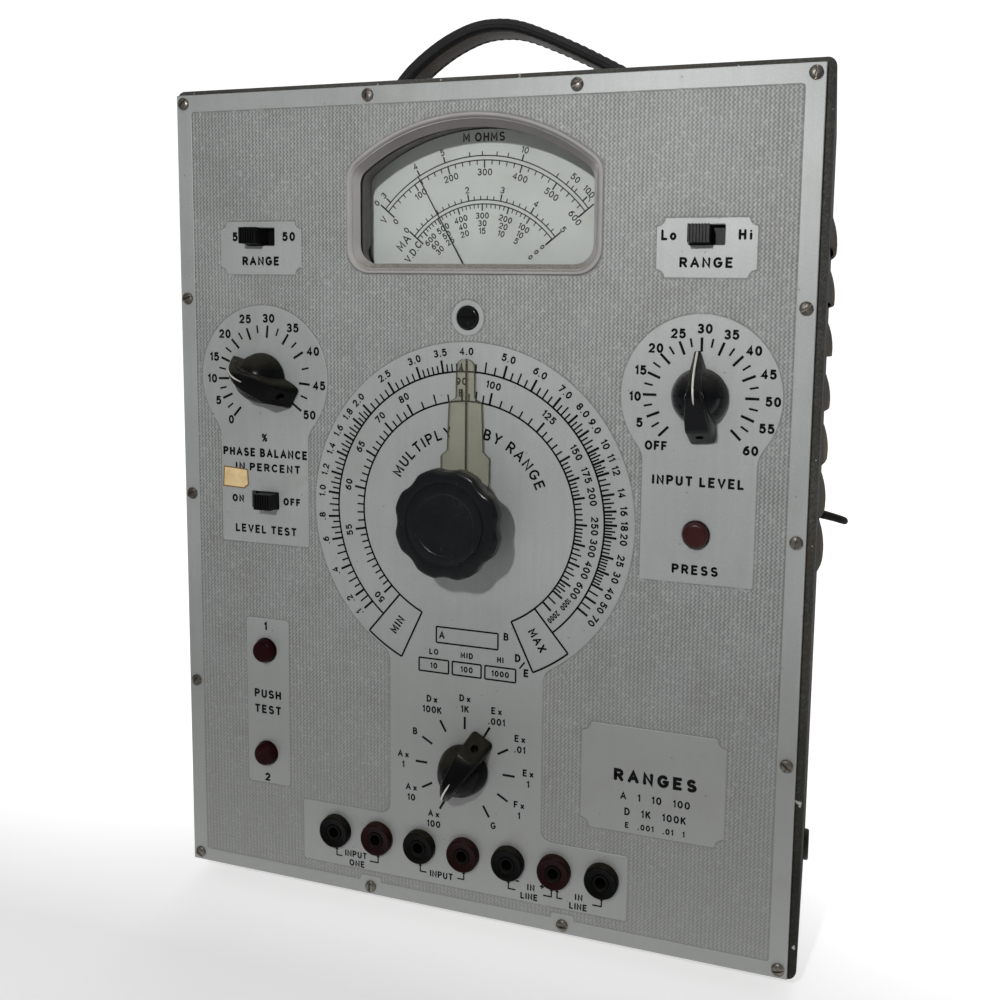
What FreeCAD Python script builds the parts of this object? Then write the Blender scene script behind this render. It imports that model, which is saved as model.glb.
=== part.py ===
import FreeCAD, Part
import Sketcher
import math
import os

# Portable bridge-type component tester: a steel cabinet with a flat front
# panel, a fan-shaped meter, four rotary controls, three slide switches,
# three push buttons, seven jacks and a strap handle.
#
# Panel frame used for modelling (millimetres):
#   x  right from the panel's vertical centre line
#   y  backwards from the panel's front face
#   z  up from the panel's bottom edge
# Every finished piece is placed by the same offset (off_x, off_y, off_z), so
# that the origin lies under the middle of the whole object, on the plane that
# the feet stand on.

os.makedirs("parts", exist_ok=True)
doc = FreeCAD.newDocument("component_tester")
sheet = doc.addObject("Spreadsheet::Sheet", "Sheet")
V3 = FreeCAD.Vector
ROT = FreeCAD.Rotation


class D:
    """A dimension: its value and the expression that gives it."""

    def __init__(self, v, e):
        self.v = float(v)
        self.e = e

    @staticmethod
    def of(o):
        if isinstance(o, D):
            return o
        return D(o, "(%r)" % float(o))

    def __add__(self, o):
        o = D.of(o)
        return D(self.v + o.v, "(%s + %s)" % (self.e, o.e))

    __radd__ = __add__

    def __sub__(self, o):
        o = D.of(o)
        return D(self.v - o.v, "(%s - %s)" % (self.e, o.e))

    def __rsub__(self, o):
        return D.of(o) - self

    def __mul__(self, o):
        o = D.of(o)
        return D(self.v * o.v, "(%s * %s)" % (self.e, o.e))

    __rmul__ = __mul__

    def __truediv__(self, o):
        o = D.of(o)
        return D(self.v / o.v, "(%s / %s)" % (self.e, o.e))

    def __neg__(self):
        return D(-self.v, "(0 - %s)" % self.e)


row = [0]


def dim(alias, value, note):
    row[0] += 1
    r = row[0]
    sheet.set("A%d" % r, note)
    sheet.set("B%d" % r, "%r" % float(value))
    sheet.setAlias("B%d" % r, alias)
    return D(value, "Sheet.%s" % alias)


# ---------------------------------------------------------------- dimensions
panel_w = dim("panel_w", 241.3, "panel width, 9.5 in")
panel_h = dim("panel_h", 304.8, "panel height, 12 in")
panel_t = dim("panel_t", 2.0, "panel thickness")
rim = dim("rim_w", 3.0, "cabinet edge beyond the panel, each side")
cab_d = dim("cab_depth", 88.9, "cabinet depth, 3.5 in")
wall = dim("wall_t", 1.2, "cabinet sheet thickness")
flange = dim("flange_w", 11.0, "front flange, from the outer face")
edge_r = dim("edge_radius", 3.0, "cabinet edge radius")
foot_h = dim("foot_h", 6.0, "foot height")
foot_r = dim("foot_radius", 8.0, "foot radius at the cabinet")
foot_in = dim("foot_inset", 18.0, "foot centre from the cabinet's outer face")
off_x = dim("off_x", -4.4518, "object centre offset, x")
off_y = dim("off_y", -37.15, "object centre offset, y")
off_z = dim("off_z", 9.0, "feet plus cabinet edge, z")

screw_in = dim("screw_inset", 3.2, "panel screw centre from the panel edge")
screw_cx = dim("screw_col", 39.2, "inner screw columns from the centre line")
screw_head_r = dim("screw_head_radius", 2.25, "panel screw head")
screw_head_h = dim("screw_head_h", 1.35, "panel screw head height")
screw_r = dim("screw_radius", 1.3, "panel screw shank")
screw_hole_r = dim("screw_hole_radius", 1.6, "panel screw clearance hole")
screw_len = dim("screw_len", 8.0, "panel screw shank length")

main_z = dim("main_z", 152.4, "main dial height")
ctl_x = dim("ctl_x", 84.1, "side dials from the centre line")
ctl_z = dim("ctl_z", 199.0, "side dials height")
sel_z = dim("sel_z", 57.0, "range selector height")
shaft_r = dim("shaft_radius", 3.175, "control shaft, 1/4 in")
run_c = dim("run_clear", 0.05, "running clearance, radial")
bush_r = dim("bush_radius", 4.7625, "control bushing, 3/8 in")
bush_hole = dim("bush_hole_radius", 4.85, "bushing hole")
bush_out = dim("bush_out", 2.4, "bushing in front of the panel")
nut_af = dim("nut_flats", 12.7, "bushing nut across flats")
nut_h = dim("nut_h", 2.2, "bushing nut height")

knob_skirt_r = dim("knob_skirt_radius", 9.35, "pointer knob skirt")
knob_tip = dim("knob_tip", 16.2, "pointer tip from the axis")
knob_tail = dim("knob_tail", 14.6, "pointer tail from the axis")
knob_bar_w = dim("knob_bar_w", 9.4, "pointer bar width")
knob_h = dim("knob_h", 14.6, "pointer knob height")
knob_gap = dim("knob_gap", 0.6, "knob above the panel")
knob_cav_r = dim("knob_cav_radius", 7.9, "knob hollow over the nut")
knob_cav_h = dim("knob_cav_h", 3.0, "knob hollow depth")
set_r = dim("set_radius", 1.2, "set screw radius")

mk_r = dim("mk_radius", 19.0, "main knob over its lobes")
mk_back = dim("mk_back", 3.6, "main knob back face before the panel")
mk_front = dim("mk_front", 16.6, "main knob front face before the panel")
mk_rim = dim("mk_rim", 6.0, "main knob lobed rim thickness")
mk_hub = dim("mk_hub_radius", 12.0, "main knob hub radius")
mk_flute_r = dim("mk_flute_radius", 6.2, "main knob flute radius")
mk_flute_p = dim("mk_flute_pitch", 23.6, "main knob flute centres")
cur_t = dim("cur_t", 0.8, "cursor thickness")
cur_back = dim("cur_back", 2.8, "cursor back face before the panel")
cur_r = dim("cur_radius", 56.5, "cursor tip radius")
cur_w1 = dim("cur_w_tip", 7.0, "cursor width at the tip")
cur_w2 = dim("cur_w_mid", 12.7, "cursor width, middle part")
cur_w3 = dim("cur_w_root", 19.0, "cursor width at the root")
cur_r1 = dim("cur_step_a", 41.0, "cursor outer step radius")
cur_r2 = dim("cur_step_b", 23.0, "cursor inner step radius")

pot_r = dim("pot_radius", 14.2, "side control body radius")
pot_l = dim("pot_len", 17.0, "side control body length")
mpot_r = dim("mpot_radius", 29.0, "main control body radius")
mpot_l = dim("mpot_len", 27.0, "main control body length")
sel_r = dim("sel_radius", 18.0, "selector wafer radius")
sel_l = dim("sel_len", 42.0, "selector length")

sw_x = dim("sw_x", 84.6, "upper slide switches from the centre line")
sw_z = dim("sw_z", 252.0, "upper slide switches height")
swc_x = dim("swc_x", 84.15, "lower slide switch from the centre line")
swc_z = dim("swc_z", 152.0, "lower slide switch height")
slot_w = dim("slot_w", 12.0, "switch slot width")
slot_h = dim("slot_h", 6.6, "switch slot height")
sl_w = dim("sl_w", 7.2, "slider width")
sl_h = dim("sl_h", 5.9, "slider height")
sl_out = dim("sl_out", 4.7, "slider in front of the panel")
sl_off = dim("sl_off", 2.1, "slider rest position from the slot's middle")

btn_r = dim("btn_radius", 4.4, "push button radius")
btn_hole = dim("btn_hole_radius", 4.75, "push button hole radius")
btn_out = dim("btn_out", 2.9, "push button in front of the panel")
btn_trav = dim("btn_travel", 2.0, "push button travel")
bv_x = dim("bv_x", 84.1, "right push button from the centre line")
bv_z = dim("bv_z", 152.4, "right push button height")
bs_x = dim("bs_x", 84.95, "left push buttons from the centre line")
bs_z1 = dim("bs_upper_z", 92.4, "upper left push button height")
bs_z2 = dim("bs_lower_z", 50.5, "lower left push button height")

jack_p = dim("jack_pitch", 18.0, "jack spacing")
jack_z = dim("jack_z", 23.8, "jack height")
jack_r = dim("jack_radius", 6.35, "jack head radius, 1/2 in across")
jack_out = dim("jack_out", 3.2, "jack head in front of the panel")
jack_sh = dim("jack_shank_radius", 3.9, "jack shank radius")
jack_hole = dim("jack_hole_radius", 4.0, "jack hole radius")
jack_l = dim("jack_len", 15.0, "jack shank length")
con_r = dim("con_radius", 2.9, "jack contact outer radius")
con_b = dim("con_bore_radius", 2.05, "jack contact bore, 4 mm plug")
con_l = dim("con_len", 18.0, "jack contact bore length")

mt_hw = dim("mt_half_w", 48.6, "meter bezel half width")
mt_bot = dim("mt_bottom", 238.3, "meter bezel bottom height")
mt_cz = dim("mt_arc_z", 220.0, "meter arc centre height")
mt_r = dim("mt_arc_radius", 74.0, "meter bezel arc radius")
mt_fr = dim("mt_corner", 9.0, "meter bezel corner radius")
mt_band = dim("mt_band", 3.8, "meter bezel band width")
mt_out = dim("mt_out", 0.6, "meter bezel in front of the panel")
mt_piv = dim("mt_pivot_z", 229.9, "meter pivot height")
mt_card = dim("mt_card_y", 13.0, "meter card behind the panel face")
mt_d = dim("mt_depth", 42.0, "meter case depth behind the panel face")
mt_len = dim("mt_pointer_len", 53.0, "meter pointer length")
za_r = dim("za_radius", 4.05, "zero adjuster radius")
za_hole = dim("za_hole_radius", 4.35, "zero adjuster hole radius")
za_z = dim("za_z", 223.4, "zero adjuster height")

lv_n = dim("lv_count", 7, "louvres on each side")
lv_p = dim("lv_pitch", 19.3, "louvre pitch")
lv_z = dim("lv_first_z", 136.0, "lowest louvre's bottom edge")
lv_h = dim("lv_h", 13.5, "louvre height")
lv_o = dim("lv_out", 2.4, "louvre stand-off")
lv_y0 = dim("lv_front_y", 22.0, "louvre front end behind the panel")
lv_l = dim("lv_len", 52.0, "louvre length")
lv_rv = dim("lv_radius_up", 26.4, "louvre curve, upright")
lv_rh = dim("lv_radius_along", 142.0, "louvre curve, along")
lv_c = dim("lv_crest", 2.5, "louvre crest above its bottom edge")

hd_y = dim("hd_y", 46.45, "handle plane behind the panel")
hd_x = dim("hd_x", 57.0, "handle pivots from the handle's middle")
hd_c = dim("hd_middle", -3.0, "handle's middle from the centre line")
hd_z = dim("hd_pin_z", 316.0, "handle pivot height")
hd_w = dim("hd_w", 14.0, "strap width")
hd_t = dim("hd_thick", 4.6, "strap thickness")
pin_r = dim("pin_radius", 1.6, "handle pin radius")
gr_r = dim("gr_radius", 5.6, "cord grommet flange radius")
gr_b = dim("gr_bore_radius", 3.2, "cord grommet bore radius")
gr_z = dim("gr_z", 17.0, "cord grommet height")
gr_y = dim("gr_y", 50.0, "cord grommet behind the panel")
st_r = dim("st_radius", 1.15, "lead stub radius")
st_l = dim("st_len", 20.0, "lead stub length")
st_z = dim("st_z", 153.0, "lead stub height at the wall")
st_y = dim("st_y", 46.0, "lead stub behind the panel")

ch_z = dim("ch_z", 110.0, "chassis shelf height")
ch_d = dim("ch_depth", 76.0, "chassis shelf depth")
ch_w = dim("ch_w", 212.0, "chassis shelf width")
ch_t = dim("ch_t", 1.2, "chassis sheet thickness")

doc.recompute()

# ------------------------------------------------------------------- helpers
nodes = {}
AX = {"z": ROT(V3(0, 0, 1), 0), "y": ROT(V3(1, 0, 0), -90), "x": ROT(V3(0, 1, 0), 90)}
serial = [0]


def fresh(kind, name):
    serial[0] += 1
    return doc.addObject(kind, "%s_%d" % (name, serial[0]))


def bind(o, prop, d):
    d = D.of(d)
    o.setExpression(prop, d.e)


def at(o, x, y, z, rot=None):
    x, y, z = D.of(x), D.of(y), D.of(z)
    o.Placement = FreeCAD.Placement(V3(x.v, y.v, z.v), rot or ROT())
    bind(o, ".Placement.Base.x", x)
    bind(o, ".Placement.Base.y", y)
    bind(o, ".Placement.Base.z", z)
    return o


def cyl(r, h, x, y, z, axis="y"):
    o = fresh("Part::Cylinder", "cyl")
    bind(o, "Radius", r)
    bind(o, "Height", h)
    return at(o, x, y, z, AX[axis])


def cone(r1, r2, h, x, y, z, axis="y"):
    o = fresh("Part::Cone", "cone")
    bind(o, "Radius1", r1)
    bind(o, "Radius2", r2)
    bind(o, "Height", h)
    return at(o, x, y, z, AX[axis])


def box(lx, ly, lz, x, y, z):
    """A box by its sizes and its lowest corner."""
    o = fresh("Part::Box", "box")
    bind(o, "Length", lx)
    bind(o, "Width", ly)
    bind(o, "Height", lz)
    return at(o, x, y, z)


def hexa(af, h, x, y, z):
    o = fresh("Part::Prism", "hex")
    o.Polygon = 6
    bind(o, "Circumradius", D.of(af) / math.sqrt(3.0))
    bind(o, "Height", h)
    return at(o, x, y, z, AX["y"])


def fuse(*shapes):
    o = fresh("Part::MultiFuse", "fuse")
    o.Shapes = list(shapes)
    return o


def cut(base, *tools):
    o = fresh("Part::Cut", "cut")
    o.Base = base
    if len(tools) == 1:
        o.Tool = tools[0]
    else:
        c = fresh("Part::Compound", "tools")
        c.Links = list(tools)
        o.Tool = c
    return o


def common(a, b):
    o = fresh("Part::Common", "common")
    o.Base = a
    o.Tool = b
    return o


def fillet(base, r, pick):
    """Round the edges that pick(edge) accepts."""
    doc.recompute()
    o = fresh("Part::Fillet", "fillet")
    o.Base = base
    r = D.of(r).v
    o.Edges = [(i + 1, r, r) for i, e in enumerate(base.Shape.Edges) if pick(e)]
    return o


def group(*shapes):
    o = fresh("Part::Compound", "group")
    o.Links = list(shapes)
    return o


def node(name, o, rot=None, x=0, y=0, z=0):
    """A finished piece: its label and its place in the object's frame."""
    o.Label = name
    at(o, off_x + x, off_y + y, off_z + z, rot)
    nodes[name] = o
    return o


def copies(name, master, moves):
    """Several like pieces in one node; master is drawn at the first place."""
    doc.recompute()
    solids = []
    for mv in moves:
        s = master.Shape.copy()
        s.translate(V3(*[D.of(c).v for c in mv]))
        solids.append(s)
    o = fresh("Part::Feature", name)
    o.Shape = Part.makeCompound(solids)
    return node(name, o)


def body(name):
    b = doc.addObject("PartDesign::Body", name + "_body")
    return b


def plane(b, role):
    for f in b.Origin.OriginFeatures:
        if f.Role == role:
            return f
    raise RuntimeError(role)


def sketch(b, depth):
    """A sketch on the plane y = depth: its x is x, its y is z, it faces -y."""
    s = b.newObject("Sketcher::SketchObject", "Sketch")
    s.AttachmentSupport = [(plane(b, "XZ_Plane"), "")]
    s.MapMode = "FlatFace"
    d = D.of(depth)
    s.AttachmentOffset = FreeCAD.Placement(V3(0, 0, -d.v), ROT())
    s.setExpression(".AttachmentOffset.Base.z", "0 - %s" % d.e)
    return s


def named(s, con, d):
    i = s.addConstraint(con)
    nm = "c%d" % i
    s.renameConstraint(i, nm)
    s.setExpression("Constraints.%s" % nm, D.of(d).e)
    return i


def sk_circle(s, x, z, r):
    x, z, r = D.of(x), D.of(z), D.of(r)
    g = s.addGeometry(Part.Circle(V3(x.v, z.v, 0), V3(0, 0, 1), r.v), False)
    named(s, Sketcher.Constraint("Radius", g, r.v), r)
    if abs(x.v) > 1e-6:
        named(s, Sketcher.Constraint("DistanceX", -1, 1, g, 3, x.v), x)
    else:
        s.addConstraint(Sketcher.Constraint("PointOnObject", g, 3, -2))
    if abs(z.v) > 1e-6:
        named(s, Sketcher.Constraint("DistanceY", -1, 1, g, 3, z.v), z)
    else:
        s.addConstraint(Sketcher.Constraint("PointOnObject", g, 3, -1))
    return g


def sk_rect(s, x0, z0, w, h):
    x0, z0, w, h = D.of(x0), D.of(z0), D.of(w), D.of(h)
    a, b = x0.v, z0.v
    c, d = a + w.v, b + h.v
    p = [V3(a, b, 0), V3(c, b, 0), V3(c, d, 0), V3(a, d, 0)]
    g = [s.addGeometry(Part.LineSegment(p[i], p[(i + 1) % 4]), False) for i in range(4)]
    for i in range(4):
        s.addConstraint(Sketcher.Constraint("Coincident", g[i], 2, g[(i + 1) % 4], 1))
    s.addConstraint(Sketcher.Constraint("Horizontal", g[0]))
    s.addConstraint(Sketcher.Constraint("Horizontal", g[2]))
    s.addConstraint(Sketcher.Constraint("Vertical", g[1]))
    s.addConstraint(Sketcher.Constraint("Vertical", g[3]))
    named(s, Sketcher.Constraint("DistanceX", g[0], 1, g[0], 2, w.v), w)
    named(s, Sketcher.Constraint("DistanceY", g[1], 1, g[1], 2, h.v), h)
    if abs(a) > 1e-6:
        named(s, Sketcher.Constraint("DistanceX", -1, 1, g[0], 1, a), x0)
    if abs(b) > 1e-6:
        named(s, Sketcher.Constraint("DistanceY", -1, 1, g[0], 1, b), z0)
    return g


def sk_path(s, points):
    """A closed outline of straight edges, each corner fixed by its place."""
    n = len(points)
    pts = [(D.of(a), D.of(b)) for a, b in points]
    g = []
    for i in range(n):
        a, b = pts[i], pts[(i + 1) % n]
        g.append(s.addGeometry(Part.LineSegment(V3(a[0].v, a[1].v, 0), V3(b[0].v, b[1].v, 0)), False))
    for i in range(n):
        s.addConstraint(Sketcher.Constraint("Coincident", g[i], 2, g[(i + 1) % n], 1))
    for i in range(n):
        x, z = pts[i]
        if abs(x.v) > 1e-6:
            named(s, Sketcher.Constraint("DistanceX", -1, 1, g[i], 1, x.v), x)
        else:
            s.addConstraint(Sketcher.Constraint("PointOnObject", g[i], 1, -2))
        if abs(z.v) > 1e-6:
            named(s, Sketcher.Constraint("DistanceY", -1, 1, g[i], 1, z.v), z)
        else:
            s.addConstraint(Sketcher.Constraint("PointOnObject", g[i], 1, -1))
    return g


def sk_fan(s, inset):
    """The meter's fan outline, drawn in by an inset: a flat bottom with round
    corners, straight sides and an arched top."""
    o = D.of(inset).v
    hw = mt_hw.v - o
    zb = mt_bot.v + o
    r = mt_r.v - o
    cz = mt_cz.v
    f = max(mt_fr.v - o * 0.55, 2.0)
    zs = cz + math.sqrt(r * r - hw * hw)
    q = f * (1 - math.sqrt(0.5))
    segs = [
        Part.LineSegment(V3(-hw + f, zb, 0), V3(hw - f, zb, 0)),
        Part.Arc(V3(hw - f, zb, 0), V3(hw - q, zb + q, 0), V3(hw, zb + f, 0)),
        Part.LineSegment(V3(hw, zb + f, 0), V3(hw, zs, 0)),
        Part.Arc(V3(hw, zs, 0), V3(0, cz + r, 0), V3(-hw, zs, 0)),
        Part.LineSegment(V3(-hw, zs, 0), V3(-hw, zb + f, 0)),
        Part.Arc(V3(-hw, zb + f, 0), V3(-hw + q, zb + q, 0), V3(-hw + f, zb, 0)),
    ]
    g = [s.addGeometry(e, False) for e in segs]
    for i in range(6):
        a, b = g[i], g[(i + 1) % 6]
        pa = 2
        pb = 1
        ea = s.Geometry[a]
        eb = s.Geometry[b]
        if (ea.EndPoint - eb.StartPoint).Length > 1e-6:
            best = None
            for qa, va in ((1, ea.StartPoint), (2, ea.EndPoint)):
                for qb, vb in ((1, eb.StartPoint), (2, eb.EndPoint)):
                    if best is None or (va - vb).Length < best[0]:
                        best = ((va - vb).Length, qa, qb)
            pa, pb = best[1], best[2]
        s.addConstraint(Sketcher.Constraint("Coincident", a, pa, b, pb))
    named(s, Sketcher.Constraint("Radius", g[3], r), mt_r - inset)
    return g


def pad(b, s, length, rev=False, taper=0.0):
    doc.recompute()
    p = b.newObject("PartDesign::Pad", "Pad")
    p.Profile = s
    bind(p, "Length", length)
    p.Reversed = rev
    if taper:
        p.TaperAngle = taper
    b.Tip = p
    doc.recompute()
    return p


def radial_hole(b, depth, r):
    """A hole from the axis out along -z, for a set screw."""
    before = b.Shape.Volume
    s = b.newObject("Sketcher::SketchObject", "Sketch")
    s.AttachmentSupport = [(plane(b, "XY_Plane"), "")]
    s.MapMode = "FlatFace"
    sk_circle(s, 0, depth, r)
    doc.recompute()
    p = b.newObject("PartDesign::Pocket", "Pocket")
    p.Profile = s
    p.Type = 1
    b.Tip = p
    doc.recompute()
    if not b.Shape.Volume < before - 1e-6:
        raise RuntimeError("set screw hole cuts nothing in " + b.Name)
    return p


def pocket(b, s, length=None):
    """Cut backwards (+y) from the sketch; the volume has to drop."""
    before = b.Shape.Volume
    p = b.newObject("PartDesign::Pocket", "Pocket")
    p.Profile = s
    if length is None:
        p.Type = 1
    else:
        bind(p, "Length", length)
    b.Tip = p
    doc.recompute()
    if not b.Shape.Volume < before - 1e-6:
        p.Reversed = True
        doc.recompute()
    if not b.Shape.Volume < before - 1e-6:
        raise RuntimeError("pocket cuts nothing in " + b.Name)
    return p


# -------------------------------------------------------------- cabinet shell
W2 = panel_w / 2
cab_w = panel_w + rim * 2
cab_h = panel_h + rim * 2
shell = fillet(box(cab_w, cab_d, cab_h, -(W2 + rim), panel_t, -rim), edge_r, lambda e: True)
cavity = fillet(
    box(cab_w - wall * 2, cab_d - wall * 2, cab_h - wall * 2, -(W2 + rim) + wall, panel_t + wall, wall - rim),
    edge_r - wall,
    lambda e: True,
)
mouth = box(cab_w - flange * 2, wall + edge_r + 2, cab_h - flange * 2, -(W2 + rim) + flange, panel_t - 1, flange - rim)
tools = [cavity, mouth]

screw_cols = [-(W2 - screw_in), -screw_cx, screw_cx, W2 - screw_in]
screw_rows = [screw_in, panel_h / 4, panel_h / 2, panel_h * 0.75, panel_h - screw_in]
screw_at = []
for c in range(4):
    for r in (0, 4):
        screw_at.append((screw_cols[c], screw_rows[r]))
for c in (0, 3):
    for r in (1, 2, 3):
        screw_at.append((screw_cols[c], screw_rows[r]))
for sx, sz in screw_at:
    tools.append(cyl(screw_r + 0.05, wall + 1, sx, panel_t - 0.5, sz))

foot_at = [
    (sx * (W2 + rim - foot_in).v, y)
    for sx in (-1, 1)
    for y in ((panel_t + foot_in).v, (panel_t + cab_d - foot_in).v)
]
for fx, fy in foot_at:
    tools.append(cyl(1.85, wall + 2, fx, fy, -rim - 1, "z"))
hand_at = []
for sx in (-1, 1):
    for dy in (-6.5, 6.5):
        hand_at.append((sx * (hd_x.v + 9.0) + hd_c.v, hd_y.v + dy))
for hx, hy in hand_at:
    tools.append(cyl(1.55, wall + 2, hx, hy, panel_h + rim - wall - 1, "z"))
tools.append(cyl(4.45, wall + 2, W2 + rim - wall - 1, gr_y, gr_z, "x"))
tools.append(at(cyl(st_r, st_l, 0, 0, 0), W2 + rim - 8.5, st_y, st_z + 1.35, ROT(V3(0, 1, 0), 90 + 9)))
shell = cut(shell, *tools)


def louvre(side, k, inner):
    """A pressed scoop that opens downwards: a doubly curved lens, or the hollow in it."""
    t = wall if inner else D.of(0)
    low = D.of(0.6) if inner else D.of(0)
    deep = (wall + 0.6) if inner else (wall * 0.5)
    z0 = lv_z + lv_p * k
    x = (W2 + rim) * side
    o = fresh("Part::Torus", "lens")
    bind(o, "Radius1", lv_rh - lv_rv)
    bind(o, "Radius2", lv_rv - t)
    at(o, x + (lv_o - lv_rh) * side, lv_y0 + lv_l / 2, z0 + lv_c)
    x0 = (x - deep) if side > 0 else (x - lv_o - 1)
    return common(o, box(deep + lv_o + 1, lv_l + 2, lv_h + low + 2, x0, lv_y0 - 1, z0 - low))


outers = []
inners = []
for k in range(int(lv_n.v)):
    for side in (-1, 1):
        outers.append(louvre(side, k, False))
        inners.append(louvre(side, k, True))
node("cabinet_shell", cut(fuse(shell, *outers), *inners))

# ---------------------------------------------------------------- front panel
pb = body("front_panel")
s = sketch(pb, panel_t)
sk_rect(s, -W2, 0, panel_w, panel_h)
pad(pb, s, panel_t)
s = sketch(pb, 0)
for sx, sz in screw_at:
    sk_circle(s, sx, sz, screw_hole_r)
for cx, cz in ((D.of(0), main_z), (-ctl_x, ctl_z), (ctl_x, ctl_z), (D.of(0), sel_z)):
    sk_circle(s, cx, cz, bush_hole)
for bx, bz in ((bv_x, bv_z), (-bs_x, bs_z1), (-bs_x, bs_z2)):
    sk_circle(s, bx, bz, btn_hole)
for i in range(7):
    sk_circle(s, jack_p * (i - 3), jack_z, jack_hole)
sk_circle(s, 0, za_z, za_hole)
for cx, cz in ((-sw_x, sw_z), (sw_x, sw_z), (-swc_x, swc_z)):
    sk_rect(s, cx - slot_w / 2, cz - slot_h / 2, slot_w, slot_h)
doc.recompute()
pocket(pb, s)
s = sketch(pb, 0)
sk_fan(s, mt_band - 2.0)
doc.recompute()
pocket(pb, s)
node("front_panel", pb)

# --------------------------------------------------------------- panel screws
x0, z0 = screw_at[0]
head = fillet(
    cyl(screw_head_r, screw_head_h, x0, -screw_head_h, z0), 1.05,
    lambda e: len(e.Vertexes) == 1 and abs(e.CenterOfMass.y + screw_head_h.v) < 1e-6,
)
head = cut(head, box(screw_head_r * 2 + 1, 0.6, 0.55, x0 - screw_head_r - 0.5, -screw_head_h - 0.05, z0 - 0.275))
screw = fuse(head, cyl(screw_r, screw_len, x0, 0, z0))
copies("panel_screws", screw, [(a - x0, 0, b - z0) for a, b in screw_at])

# ----------------------------------------------------------------------- feet
fx, fy = foot_at[0]
foot = cone(foot_r - 1.2, foot_r, foot_h, fx, fy, -rim - foot_h, "z")
foot = cut(foot, cyl(1.85, foot_h + 2, fx, fy, -rim - foot_h - 1, "z"), cyl(3.6, 3.0, fx, fy, -rim - foot_h - 0.5, "z"))
copies("rubber_feet", foot, [(a - fx, b - fy, 0) for a, b in foot_at])
fsc = fuse(
    cyl(3.3, 1.8, fx, fy, -rim - foot_h + 0.7, "z"),
    cyl(1.8, foot_h + 3.5, fx, fy, -rim - foot_h + 1.6, "z"),
)
fsc = cut(fsc, box(8, 0.8, 0.9, fx - 4, fy - 0.4, -rim - foot_h + 0.2))
copies("foot_screws", fsc, [(a - fx, b - fy, 0) for a, b in foot_at])

# -------------------------------------------------- cord grommet and lead stub
gx = W2 + rim
gr = fuse(
    cyl(gr_r, 2.0, gx, gr_y, gr_z, "x"),
    cyl(4.4, wall + 1.0, gx - wall - 0.5, gr_y, gr_z, "x"),
    cyl(gr_r, 2.0, gx - wall - 2.0, gr_y, gr_z, "x"),
)
gr = cut(gr, cyl(gr_b, 12, gx - 6, gr_y, gr_z, "x"))
node("cord_grommet", fillet(gr, 0.8, lambda e: len(e.Vertexes) == 1 and abs(e.Length - 2 * math.pi * gr_r.v) < 1e-3
                            and (e.CenterOfMass.x > gx.v + 1.9 or e.CenterOfMass.x < gx.v - wall.v - 1.9)))
stub = fresh("Part::Cylinder", "stub")
bind(stub, "Radius", st_r)
bind(stub, "Height", st_l)
at(stub, 0, 0, 0, ROT(V3(0, 1, 0), 90 + 9))
stub = fillet(stub, 0.9, lambda e: len(e.Vertexes) == 1 and e.CenterOfMass.x > 5)
node("lead_stub", stub, None, gx - 8.5, st_y, st_z + 1.35)

# --------------------------------------------------------------------- handle
top = panel_h + rim
brk = []
for sx in (-1, 1):
    xb = D.of(sx) * (hd_x + 9) + hd_c
    plate = box(16, 20, 1.5, xb - 8, hd_y - 10, top)
    ear_x = D.of(sx) * (hd_x + 2.5) - 1.25 + hd_c
    ear = fuse(
        box(2.5, 9, hd_z - top, ear_x, hd_y - 4.5, top),
        cyl(4.5, 2.5, ear_x, hd_y, hd_z, "x"),
    )
    pin = cyl(pin_r, 9.5, (hd_x * sx) - (5.5 if sx > 0 else 4.0) + hd_c, hd_y, hd_z, "x")
    holes = [cyl(1.75, 4, xb, hd_y + dy, top - 1, "z") for dy in (-6.5, 6.5)]
    brk.append(cut(fuse(plate, ear, pin), *holes))
node("handle_brackets", group(*brk))
hx, hy = hand_at[0]
hs = fillet(cyl(3.0, 1.7, hx, hy, top + 1.5, "z"), 1.2,
            lambda e: len(e.Vertexes) == 1 and e.CenterOfMass.z > top.v + 3)
hs = cut(hs, box(8, 0.7, 0.8, hx - 4, hy - 0.35, top + 2.6))
hs = fuse(hs, cyl(1.5, 8.0, hx, hy, top - 6.0, "z"))
copies("handle_screws", hs, [(a - hx, b - hy, 0) for a, b in hand_at])

# strap: a stiff arched band, apex a little left of the middle
ctr = [(-52.5, 317.6), (-49.6, 321.2), (-45.4, 325.2), (-40.2, 329.2), (-34.8, 332.7), (-29.5, 335.5), (-24.3, 337.7),
       (-19.2, 339.3), (-14.1, 340.1), (-9.0, 340.2), (-4.0, 339.8), (0.9, 338.7), (5.9, 337.0), (11.0, 334.9), (16.2, 332.7),
       (21.2, 330.4), (26.3, 328.0), (31.4, 325.4), (36.4, 322.8), (41.4, 320.2), (46.5, 317.6)]
up = []
dn = []
for i, (a, b) in enumerate(ctr):
    p, q = ctr[max(i - 1, 0)], ctr[min(i + 1, len(ctr) - 1)]
    dx, dz = q[0] - p[0], q[1] - p[1]
    ln = math.hypot(dx, dz)
    nx, nz = -dz / ln, dx / ln
    if i in (0, len(ctr) - 1):
        nx, nz = 0.0, 1.0
    h = hd_t / 2
    up.append((D.of(a) + h * nx, D.of(b) + h * nz))
    dn.append((D.of(a) - h * nx, D.of(b) - h * nz))
sb = body("handle_strap")
s = sketch(sb, hd_y + hd_w / 2)
sk_path(s, up + dn[::-1])
pad(sb, s, hd_w)
node("handle_strap", sb)
fer = []
for sx in (-1, 1):
    fxa = D.of(sx) * (hd_x - 4.0) - 3.5 + hd_c
    f = cut(box(7, 10, 7.2, fxa, hd_y - 5, hd_z - 3.6), cyl(pin_r + run_c, 12, fxa - 2, hd_y, hd_z, "x"))
    fer.append(f)
node("handle_ferrules", group(*fer))

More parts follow.
